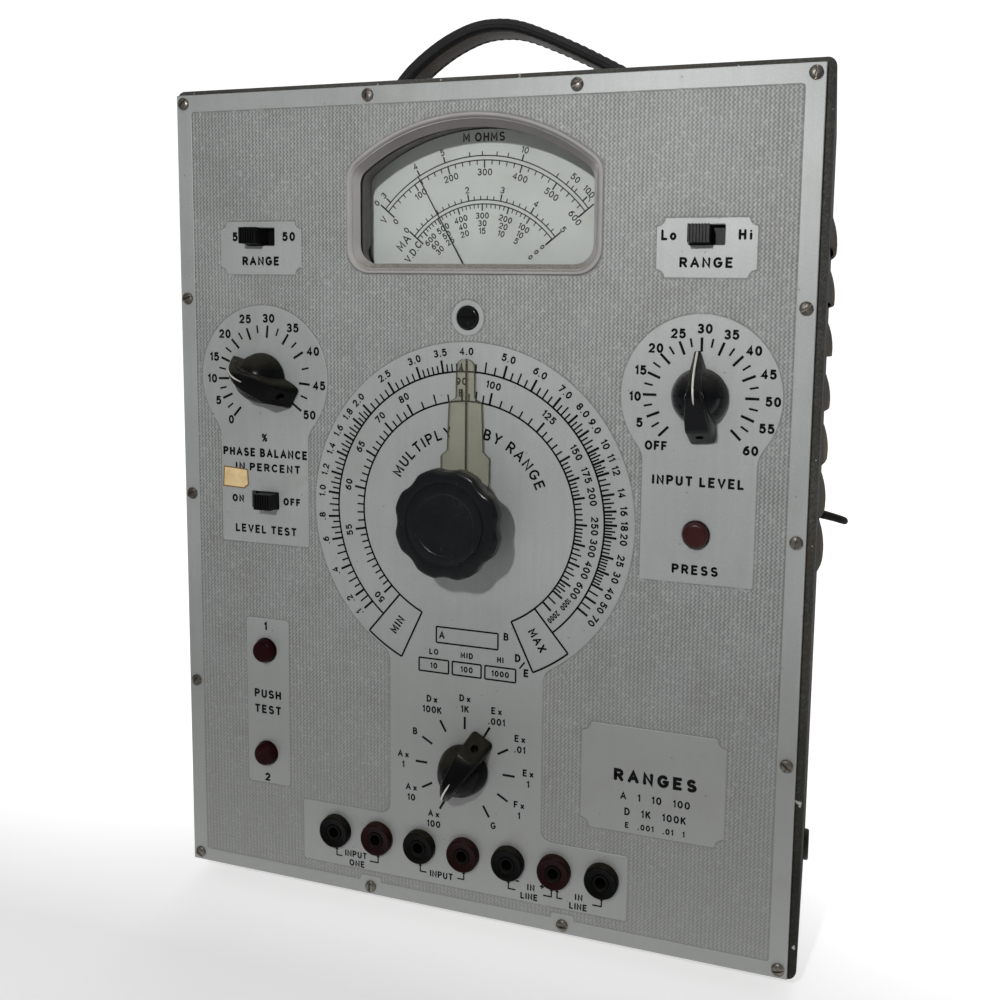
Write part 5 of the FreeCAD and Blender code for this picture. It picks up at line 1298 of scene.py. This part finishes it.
def screws():
    g = Geo()
    R, H, hw, depth = 2.25, 1.35, 0.29, 0.62

    def dome(r):
        q = max(0.0, 1.0 - (r / (R * 1.04)) ** 2)
        return 0.34 + (H - 0.34) * math.sqrt(q)

    def at(u, w, h, c, ca, sa):
        return (c[0] + u * ca - w * sa, -h, c[1] + u * sa + w * ca)

    for c, turn in zip(SCREWS, SLOT_TURN):
        ca, sa = math.cos(math.radians(turn)), math.sin(math.radians(turn))
        for sg in (1, -1):
            rows_ = []
            for i in range(8):
                w = hw + (R - hw - 0.004) * (1 - math.cos(PI / 2 * i / 7)) if i else hw
                w = hw + (R - hw - 0.01) * math.sin(PI / 2 * i / 7)
                e = math.sqrt(max(R * R - w * w, 0.0))
                line = []
                for j in range(13):
                    u = -e * math.cos(PI * j / 12)
                    line.append(at(u, sg * w, dome(math.hypot(u, w)), c, ca, sa))
                rows_.append(line)
            e = math.sqrt(R * R - hw * hw)
            floor = [at(-e * math.cos(PI * j / 12), sg * hw, H - depth, c, ca, sa) for j in range(13)]
            g.rings([floor] + rows_, close=False)
            # rim down to the panel
            top, low = [], []
            a0 = math.asin(hw / R)
            for j in range(17):
                a = a0 + (PI - 2 * a0) * j / 16
                u, w = R * math.cos(a), R * math.sin(a) * sg
                top.append(at(u, w, dome(R), c, ca, sa))
                low.append(at(u, w, 0.0, c, ca, sa))
            g.rings([top, low], close=False)
        e = math.sqrt(R * R - hw * hw)
        g.add([at(-e, -hw, H - depth, c, ca, sa), at(e, -hw, H - depth, c, ca, sa), at(e, hw, H - depth, c, ca, sa),
               at(-e, hw, H - depth, c, ca, sa)], [(0, 1, 2, 3)])
        for sg in (1, -1):
            g.add([at(sg * e, -hw, H - depth, c, ca, sa), at(sg * e, hw, H - depth, c, ca, sa), at(sg * e, hw, 0, c, ca, sa),
                   at(sg * e, -hw, 0, c, ca, sa)], [(0, 1, 2, 3)])
        g.lathe([(1.3, 0.0), (1.3, 7.6), (0.9, 8.0)], c[0], c[1], n=12, cap1=True)
    return piece("panel_screw_set", g, [M["screw"]], "cabinet", smooth=35, stands=["panel_screws"])


screws()

# ------------------------------------------------------------------- main knob
def main_knob():
    g = Geo()
    n = 240
    ang = [2 * PI * i / n for i in range(n)]
    R0, fr, fp = 19.6, 10.5, 28.9

    def outline(a):
        best = R0
        p = a % (PI / 4)
        p = p - PI / 4 if p > PI / 8 else p
        s = fp * math.sin(p)
        if abs(s) < fr:
            best = min(best, fp * math.cos(p) - math.sqrt(fr * fr - s * s))
        return best

    raw = np.array([outline(a) for a in ang])
    k = np.array([1, 2, 3, 4, 3, 2, 1], float)
    k /= k.sum()
    edge = sum(w * np.roll(raw, j - 3) for j, w in enumerate(k))

    def circ(r, y):
        return [(MAIN[0] + r * math.cos(a), y, MAIN[1] + r * math.sin(a)) for a in ang]

    def lobed(off, y, t=1.0):
        return [(MAIN[0] + ((1 - t) * 17.0 + t * e - off) * math.cos(a), y, MAIN[1] + ((1 - t) * 17.0 + t * e - off) * math.sin(a))
                for a, e in zip(ang, edge)]

    F = -16.6
    rr = [circ(0.02, F + 0.40), circ(6.0, F + 0.40), circ(10.2, F + 0.40), circ(10.5, F + 0.36), circ(10.75, F + 0.12), circ(11.05, F + 0.03),
          circ(11.4, F), circ(13.5, F), circ(13.85, F + 0.06), circ(14.1, F + 0.46), circ(14.35, F + 0.52), circ(14.6, F + 0.46), circ(14.85, F + 0.12),
          circ(15.2, F + 0.05), lobed(1.5, F + 0.08), lobed(0.85, F + 0.24), lobed(0.38, F + 0.6), lobed(0.1, F + 1.1), lobed(0.0, F + 1.8),
          lobed(0.0, F + 3.0), lobed(0.0, -11.9), lobed(0.25, -11.1), lobed(0.9, -10.6), circ(12.8, -10.6), circ(12.2, -10.3), circ(12.0, -9.7),
          circ(12.0, -4.0), circ(11.6, -3.6), circ(3.2, -3.6), circ(3.2, -11.8), circ(0.02, -11.8)]
    mm = [0] * 18 + [1] * 12
    g.rings(rr, mm)
    return piece("main_knob_lobed", g, [M["knob"], M["knob_side"]], "main_dial", smooth=32, stands=["main_knob"])


main_knob()


# ---------------------------------------------------------------- main cursor
def cursor():
    def fil(pts, rad, n=6):
        out = []
        k = len(pts)
        for i, p in enumerate(pts):
            r = rad[i]
            a, b = np.array(pts[i - 1]) - p, np.array(pts[(i + 1) % k]) - p
            if r <= 0:
                out.append(tuple(p))
                continue
            a, b = a / np.linalg.norm(a), b / np.linalg.norm(b)
            th = math.acos(max(-1, min(1, float(a @ b))))
            d = r / math.tan(th / 2)
            cen = np.array(p) + (a + b) / np.linalg.norm(a + b) * (r / math.sin(th / 2))
            s, e = np.array(p) + a * d, np.array(p) + b * d
            a0, a1 = math.atan2(*(s - cen)[::-1]), math.atan2(*(e - cen)[::-1])
            da = (a1 - a0 + PI) % (2 * PI) - PI
            out += [(cen[0] + r * math.cos(a0 + da * j / n), cen[1] + r * math.sin(a0 + da * j / n)) for j in range(n + 1)]
        return out

    base = [(-9.5, -9.5), (9.5, -9.5), (9.5, 21.6), (7.1, 23.6), (6.4, 41.0), (3.75, 42.6), (3.5, 56.5), (-3.5, 56.5), (-3.75, 42.6),
            (-6.4, 41.0), (-7.1, 23.6), (-9.5, 21.6)]
    rad = [4, 4, 1.2, 1.2, 0.5, 1.0, 3.1, 3.1, 1.0, 0.5, 1.2, 1.2]
    out = np.array(fil(base, rad))
    rs = out[out[:, 0] > 0]
    rs = rs[np.argsort(rs[:, 1])]
    zr = np.unique(np.round(np.concatenate([rs[:, 1], np.arange(8.6, 13.6, 0.4), np.arange(-8.5, 56.0, 1.5)]), 3))
    half = np.interp(zr, rs[:, 1], rs[:, 0])
    cx, cz = MAIN
    g = Geo()
    y0, y1 = -3.6, -2.8
    # under the knob the plate bends down to lie near the dial
    k = np.clip((zr - 8.6) / 4.6, 0, 1)
    bend = 1.9 * k * k * (3 - 2 * k)
    v, f, m = [], [], []
    for z, w, d in zip(zr, half, bend):
        e = min(0.26, 0.4 * w)
        v += [(cx + x, y + d, cz + z) for x, y in ((-w, y0 + 0.12), (-w + e, y0), (w - e, y0), (w, y0 + 0.12),
                                                   (w, y1 - 0.12), (w - e, y1), (-w + e, y1), (-w, y1 - 0.12))]
    n = len(zr)
    for i in range(n - 1):
        for j in range(8):
            f.append((8 * i + j, 8 * i + (j + 1) % 8, 8 * i + 8 + (j + 1) % 8, 8 * i + 8 + j))
            m.append({1: 0, 5: 3}.get(j, 1))
    f += [tuple(range(7, -1, -1)), tuple(range(8 * n - 8, 8 * n))]
    m += [1, 1]
    g.add(v, f, m)
    yb = y1 + 1.9
    g.bar(cx, cz + 13.2, cx, cz + 56.1, 0.66, yb - 0.03, yb + 0.05, 2)
    letters(g, "A", cx - 2.0, cz + 53.2, 2.6, yb - 0.02, w=0.46, m=2)
    letters(g, "B", cx - 2.0, cz + 44.4, 2.6, yb - 0.02, w=0.46, m=2)
    return piece("main_cursor_plate", g, [M["celluloid"], M["celluloid_edge"], M["ink"], M["celluloid_back"]], "main_dial",
                 stands=["main_cursor"])


cursor()


# ---------------------------------------------------------------- pointer knobs
def pointer_knob(name, body, c, ang, node, skin):
    ca, sa = math.cos(math.radians(ang)), math.sin(math.radians(ang))

    def P(u, w, h):
        return (c[0] + u * ca - w * sa, -h, c[1] + u * sa + w * ca)

    # along the bar: place, half width at the foot and at the top, height, drop of the shoulders
    sec = [(-15.6, 3.2, 2.5, 1.1, 0.2), (-15.35, 3.9, 3.1, 1.5, 0.25), (-14.6, 4.45, 3.5, 2.7, 0.3), (-13.4, 4.7, 3.65, 4.9, 0.3), (-12.0, 4.8, 3.75, 7.5, 0.3),
           (-11.2, 4.85, 3.8, 9.0, 0.3), (-10.75, 4.85, 3.8, 9.7, 0.3), (-10.3, 4.85, 3.8, 10.1, 0.3), (-8.0, 4.8, 3.65, 11.0, 0.32), (-5.0, 4.7, 3.4, 12.2, 0.4),
           (-2.5, 4.5, 3.05, 13.2, 0.6), (-0.7, 4.35, 2.75, 13.85, 0.9), (0.6, 4.25, 2.5, 14.1, 1.1), (2.2, 4.05, 2.25, 14.05, 1.3), (4.0, 3.75, 1.9, 13.3, 1.5),
           (6.0, 3.3, 1.55, 11.95, 1.5), (8.0, 2.85, 1.25, 10.1, 1.4), (10.0, 2.4, 0.98, 7.9, 1.2), (12.0, 1.9, 0.75, 5.3, 0.9), (13.6, 1.5, 0.6, 3.1, 0.6),
           (14.7, 1.15, 0.48, 1.6, 0.3), (15.15, 0.8, 0.36, 1.0, 0.1)]
    g = Geo()
    rr = []
    for u, wb, wt, h, dr in sec:
        q = min(1.0, h / 7.0) * min(1.0, wt / 2.4)
        ws = wt + (wb - wt) * 0.36
        half = [(wb, 0.6), (wb * 0.62 + ws * 0.38, 0.6 + (h - 0.6) * 0.42), (ws, h - dr - 1.25 * q), (ws - 0.08, h - dr - 0.98 * q), (wt + 0.16, h - dr - 0.84 * q),
                (wt + 0.06, h - dr - 0.24 * q), (wt * 0.93, h - dr * 0.72), (wt * 0.62, h - dr * 0.30), (wt * 0.3, h - dr * 0.07)]
        rr.append([P(u, w, q) for w, q in half] + [P(u, 0.0, h)] + [P(u, -w, q) for w, q in reversed(half)])
    g.rings(rr, 0, True, True, True)
    bar = piece(name + "_bar", g, [skin], body, smooth=30, stands=[node])
    # the set-screw hole in the sloping tail
    cut = bpy.data.meshes.new("hole")
    bm = bmesh.new()
    bmesh.ops.create_cone(bm, cap_ends=True, segments=24, radius1=0.0014, radius2=0.0014, depth=0.0064)
    o = row([P(-13.1, 0.0, 5.45)])[0]
    d = row([P(-13.1 - 0.88, 0.0, 5.45 + 0.47)])[0] - o
    rot = Vector(d).to_track_quat("Z", "Y").to_matrix().to_4x4()
    bm.transform(Matrix.Translation(Vector(o)) @ rot)
    # and the hollow over the nut and the bushing
    mid = Matrix.Translation(Vector(row([P(0.0, 0.0, 0.6)])[0])) @ Matrix.Rotation(math.radians(90.0), 4, "X")
    bmesh.ops.create_cone(bm, cap_ends=True, segments=64, radius1=0.00795, radius2=0.00795, depth=0.0061, matrix=mid)
    bm.to_mesh(cut)
    bm.free()
    tool = bpy.data.objects.new("hole", cut)
    scene.collection.objects.link(tool)
    md = bar.modifiers.new("hole", "BOOLEAN")
    md.operation, md.solver, md.object = "DIFFERENCE", "EXACT", tool
    dg = bpy.context.evaluated_depsgraph_get()
    new = bpy.data.meshes.new_from_object(bar.evaluated_get(dg))
    bar.modifiers.clear()
    old = bar.data
    bar.data = new
    bpy.data.meshes.remove(old)
    new.name = bar.name
    bpy.data.objects.remove(tool)
    bpy.data.meshes.remove(cut)
    new.polygons.foreach_set("use_smooth", np.ones(len(new.polygons), bool))
    new.set_sharp_from_angle(angle=math.radians(30))
    # domed skirt
    s = Geo()
    s.lathe([(0.02, -3.6), (7.9, -3.6), (7.9, -0.62), (8.6, -0.62), (9.35, -0.66), (9.6, -0.85), (9.65, -1.2), (9.6, -1.7), (9.35, -2.6), (8.9, -4.0), (8.2, -5.6), (7.2, -7.2), (5.9, -8.6),
             (4.4, -9.7), (2.6, -10.4), (1.0, -10.65), (0.02, -10.7)], *c, n=64, a0=math.radians(ang))
    piece(name + "_skirt", s, [skin], body, smooth=40)
    # white line let into the crest of the nose
    w = Geo()
    us, hs = [q[0] for q in sec], [q[3] for q in sec]
    line = [(u, float(np.interp(u, us, hs))) for u in (15.0, 14.7, 13.6, 12.0, 10.0, 8.0, 6.0, 4.0, 2.2, 0.6, -0.7, -1.8)]
    rr = []
    for i, (u, h) in enumerate(line):
        hw = (0.30, 0.34, 0.36, 0.36, 0.35, 0.34, 0.33, 0.32, 0.31, 0.29, 0.24, 0.08)[i]
        rr.append([P(u, hw, h + 0.015), P(u, 0.0, h + 0.05), P(u, -hw, h + 0.015), P(u - 0.1, -hw, h - 0.35), P(u - 0.1, hw, h - 0.35)])
    w.rings(rr, 0, True, True, True)
    piece(name + "_line", w, [M["white"]], body, smooth=40)
    return bar


pointer_knob("factor_knob", "factor_control", LEFT, 151.0, "factor_knob", M["dusty"])
pointer_knob("gain_knob", "gain_control", RIGHT, 95.0, "gain_knob", M["clean"])
pointer_knob("selector_knob", "selector_control", SEL, 240.0, "selector_knob", M["dusty"])


# ------------------------------------------------------------------------ jacks
def jack_heads(name, which, node, skin):
    """Moulded heads with a fine rim, a flat face and a funnel down to the contact."""
    lo = (np.array(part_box(node)[0]) * 1000 - OFF)[1]
    hi = (np.array(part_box(node)[1]) * 1000 - OFF)[1]
    g = Geo()
    for k in which:
        cx, cz = JACKS[k]
        prof = [(2.9, hi), (3.9, hi), (3.9, 0.0), (6.35, 0.0), (6.35, lo + 1.5), (6.28, lo + 1.1), (6.05, lo + 0.76), (5.7, lo + 0.6), (5.35, lo + 0.66), (5.1, lo + 0.86), (4.9, lo + 0.93),
                (3.6, lo + 0.98), (3.3, lo + 1.1), (2.9, lo + 1.5), (2.9, hi)]
        g.lathe(prof, cx, cz, n=56)
    return piece(name, g, [skin], "cabinet", smooth=38, stands=[node])


jack_heads("jack_heads_black", (0, 2, 4, 6), "jack_shells_black", M["jack_black"])
jack_heads("jack_heads_red", (1, 3, 5), "jack_shells_red", M["jack_red"])


# ---------------------------------------------------------------- the lead stub
def lead_stub():
    """A thin lead in a swelling sleeve with a rounded, slightly drooping end."""
    g = Geo()
    x0, y0, z0 = 115.15, 46.0, 154.35
    rr = []
    for u, r, drop in ((0.0, 1.12, 0.0), (8.9, 1.12, 0.0), (9.2, 1.5, 0.0), (9.7, 1.66, 0.0), (11.5, 1.62, 0.03), (13.5, 1.56, 0.10),
                       (15.5, 1.52, 0.22), (17.3, 1.5, 0.38), (18.5, 1.42, 0.5), (19.2, 1.16, 0.58), (19.6, 0.78, 0.63), (19.8, 0.3, 0.66)):
        c, s = math.cos(math.radians(9)), math.sin(math.radians(9))
        rr.append([(x0 + u * c + r * math.cos(a) * s, y0 + r * math.sin(a), z0 - u * s - drop + r * math.cos(a) * c)
                   for a in np.linspace(0, 2 * PI, 20, endpoint=False)])
    g.rings(rr, 0, True, True, True)
    return piece("lead_sleeve", g, [M["rubber"]], "cabinet", smooth=50, stands=["lead_stub"])


lead_stub()


# -------------------------------------------------------------------- the strap
def strap():
    pts = np.array([(-52.5, 317.6), (-49.6, 321.2), (-45.4, 325.2), (-40.2, 329.2), (-34.8, 332.7), (-29.5, 335.5), (-24.3, 337.7), (-19.2, 339.3),
                    (-14.1, 340.1), (-9.0, 340.2), (-4.0, 339.8), (0.9, 338.7), (5.9, 337.0), (11.0, 334.9), (16.2, 332.7), (21.2, 330.4), (26.3, 328.0),
                    (31.4, 325.4), (36.4, 322.8), (41.4, 320.2), (46.5, 317.6)])
    ext = np.concatenate([[2 * pts[0] - pts[1]], pts, [2 * pts[-1] - pts[-2]]])
    line = []
    for i in range(1, len(ext) - 2):
        p0, p1, p2, p3 = ext[i - 1:i + 3]
        for t in np.linspace(0, 1, 5, endpoint=False):
            line.append(0.5 * (2 * p1 + (p2 - p0) * t + (2 * p0 - 5 * p1 + 4 * p2 - p3) * t ** 2 + (3 * p1 - p0 - 3 * p2 + p3) * t ** 3))
    line.append(pts[-1])
    line = np.array(line)
    tan = np.gradient(line, axis=0)
    tan /= np.linalg.norm(tan, axis=1)[:, None]
    nor = np.stack([-tan[:, 1], tan[:, 0]], 1)
    s = np.concatenate([[0], np.cumsum(np.linalg.norm(np.diff(line, axis=0), axis=1))])
    Y = 46.45
    # cross-section: (across, thickness), leather folded over a core
    sec = [(-6.2, 0.4), (-6.08, 1.35), (-5.6, 1.95), (-4.9, 2.06), (-4.2, 1.94), (-3.3, 2.08), (-1.4, 2.26), (1.4, 2.26), (3.3, 2.08), (4.2, 1.94), (4.9, 2.06), (5.6, 1.95),
           (6.08, 1.35), (6.2, 0.4), (6.2, -0.35), (6.04, -0.52), (6.2, -0.72), (6.08, -1.5), (5.5, -2.0), (3.5, -2.2), (0.0, -2.24), (-3.5, -2.2), (-5.5, -2.0), (-6.08, -1.5),
           (-6.2, -0.72), (-6.04, -0.52), (-6.2, -0.35)]
    under = set(range(19, 21))
    g = Geo()
    rng = np.random.default_rng(5)
    rr = []
    for p, nv in zip(line, nor):
        j = rng.normal(0, 0.02)
        rr.append([(p[0] + nv[0] * (h + j), Y + w, p[1] + nv[1] * (h + j)) for w, h in sec])
    k = len(sec)
    f, m = [], []
    for i in range(len(rr) - 1):
        for a in range(k):
            b = (a + 1) % k
            f.append((i * k + a, i * k + b, (i + 1) * k + b, (i + 1) * k + a))
            m.append(1 if a in under else 0)
    f += [tuple(range(k - 1, -1, -1)), tuple(range((len(rr) - 1) * k, len(rr) * k))]
    m += [0, 0]
    g.add(np.concatenate([np.array(r) for r in rr]), f, m)
    # stitches along both edges, above and below
    for sg in (-1, 1):
        for pos in np.arange(4.0, s[-1] - 4.0, 3.4):
            for up in (1, -1):
                ring_set = []
                for q, fat in ((-1.15, 0.10), (-0.9, 0.26), (0.0, 0.32), (0.9, 0.26), (1.15, 0.10)):
                    d = pos + q
                    x, z = np.interp(d, s, line[:, 0]), np.interp(d, s, line[:, 1])
                    nx, nz = np.interp(d, s, nor[:, 0]), np.interp(d, s, nor[:, 1])
                    h = (1.96 if up > 0 else -2.03)
                    ring_set.append([(x + nx * (h + fat * math.sin(a)), Y + sg * 4.9 + fat * math.cos(a), z + nz * (h + fat * math.sin(a)))
                                     for a in (0, PI / 3, 2 * PI / 3, PI, 4 * PI / 3, 5 * PI / 3)])
                g.rings(ring_set, 2, True, True, True)
    return piece("handle_strap_leather", g, [M["leather"], M["leather_under"], M["thread"]], "handle", smooth=45,
                 stands=["handle_strap"])


strap()


# -------------------------------------------------------------- stage and light
def stage():
    s = Shader("studio_floor")
    n = s.noise(3.0, 3.0, 0.5)
    s.put(base=s.ramp(n, [(0.3, (0.54, 0.54, 0.54, 1)), (0.7, (0.57, 0.57, 0.57, 1))]), rough=0.9, spec=0.1)
    s.b.inputs["Emission Color"].default_value = (1, 1, 1, 1)
    glow = s.grey(s.axis(1, -0.07, 0.03), 0.0, 0.42, 1.0, 0.86)
    s.link(s.math("MULTIPLY", s.axis(1, -0.130, -0.104), glow), s.b.inputs["Emission Strength"])
    prof = [(-3.0, 0.0), (1.2, 0.0)] + [(1.2 + 1.2 * math.sin(a), 1.2 - 1.2 * math.cos(a)) for a in np.linspace(0.1, PI / 2, 14)] + [(2.4, 4.0)]
    v, f = [], []
    for y, z in prof:
        v += [(-4.0, y, z - 0.0002), (4.0, y, z - 0.0002)]
    for i in range(len(prof) - 1):
        f.append((2 * i, 2 * i + 1, 2 * i + 3, 2 * i + 2))
    me = bpy.data.meshes.new("studio_floor")
    me.from_pydata(v, [], f)
    me.materials.append(s.m)
    me.polygons.foreach_set("use_smooth", np.ones(len(f), bool))
    o = bpy.data.objects.new("studio_floor", me)
    scene.collection.objects.link(o)


def lamp(name, loc, target, size, watts, colour=(1, 1, 1)):
    d = bpy.data.lights.new(name, "AREA")
    d.shape = "DISK"
    d.size = size
    d.energy = watts
    d.color = colour
    o = bpy.data.objects.new(name, d)
    o.location = loc
    o.rotation_mode = "QUATERNION"
    o.rotation_quaternion = (Vector(target) - Vector(loc)).to_track_quat("-Z", "Y")
    scene.collection.objects.link(o)
    return o


stage()
world = bpy.data.worlds.new("studio")
scene.world = world
world.use_nodes = True
wt = world.node_tree
bg = wt.nodes["Background"]
bg.inputs[0].default_value = (0.98, 0.99, 1.0, 1)
tc = wt.nodes.new("ShaderNodeTexCoord")
sp = wt.nodes.new("ShaderNodeSeparateXYZ")
mr = wt.nodes.new("ShaderNodeMapRange")
wt.links.new(tc.outputs["Generated"], sp.inputs[0])
wt.links.new(sp.outputs[2], mr.inputs[0])
for i, x in ((1, -0.1), (2, 0.9), (3, 0.12), (4, 0.29)):
    mr.inputs[i].default_value = x
wt.links.new(mr.outputs[0], bg.inputs[1])
mid = Vector((-0.004, -0.037, 0.16))
lamp("key", (0.0155, -0.468, 0.411), mid, 0.028, 1.12, (1.0, 0.995, 0.98))
lamp("top", (-0.1, -0.45, 1.1), (0.0, 0.0, 0.3), 0.6, 0.3, (0.97, 0.985, 1.0))
lamp("back", (0.1, 0.35, 1.5), (0.0, 0.2, 0.0), 1.0, 3.0, (0.98, 0.99, 1.0))
scene.view_settings.view_transform = "Standard"
scene.view_settings.look = "None"

cam = bpy.data.cameras.new("camera")
cam.sensor_width = 36.0
cam.lens = 27.847458
cam.shift_x, cam.shift_y = -0.155, -0.0916
cam.clip_start, cam.clip_end = 0.01, 50.0
co = bpy.data.objects.new("camera", cam)
right, up, back = (0.97376317, 0.22593234, 0.02720054), (-0.04536083, 0.07558032, 0.99610743), (0.22299706, -0.97120656, 0.08384581)
loc = (0.12244975, -0.29021048, 0.22525888)
co.matrix_world = Matrix([[right[i], up[i], back[i], loc[i]] for i in range(3)] + [[0, 0, 0, 1]])
scene.collection.objects.link(co)
scene.camera = co

bpy.context.view_layer.update()
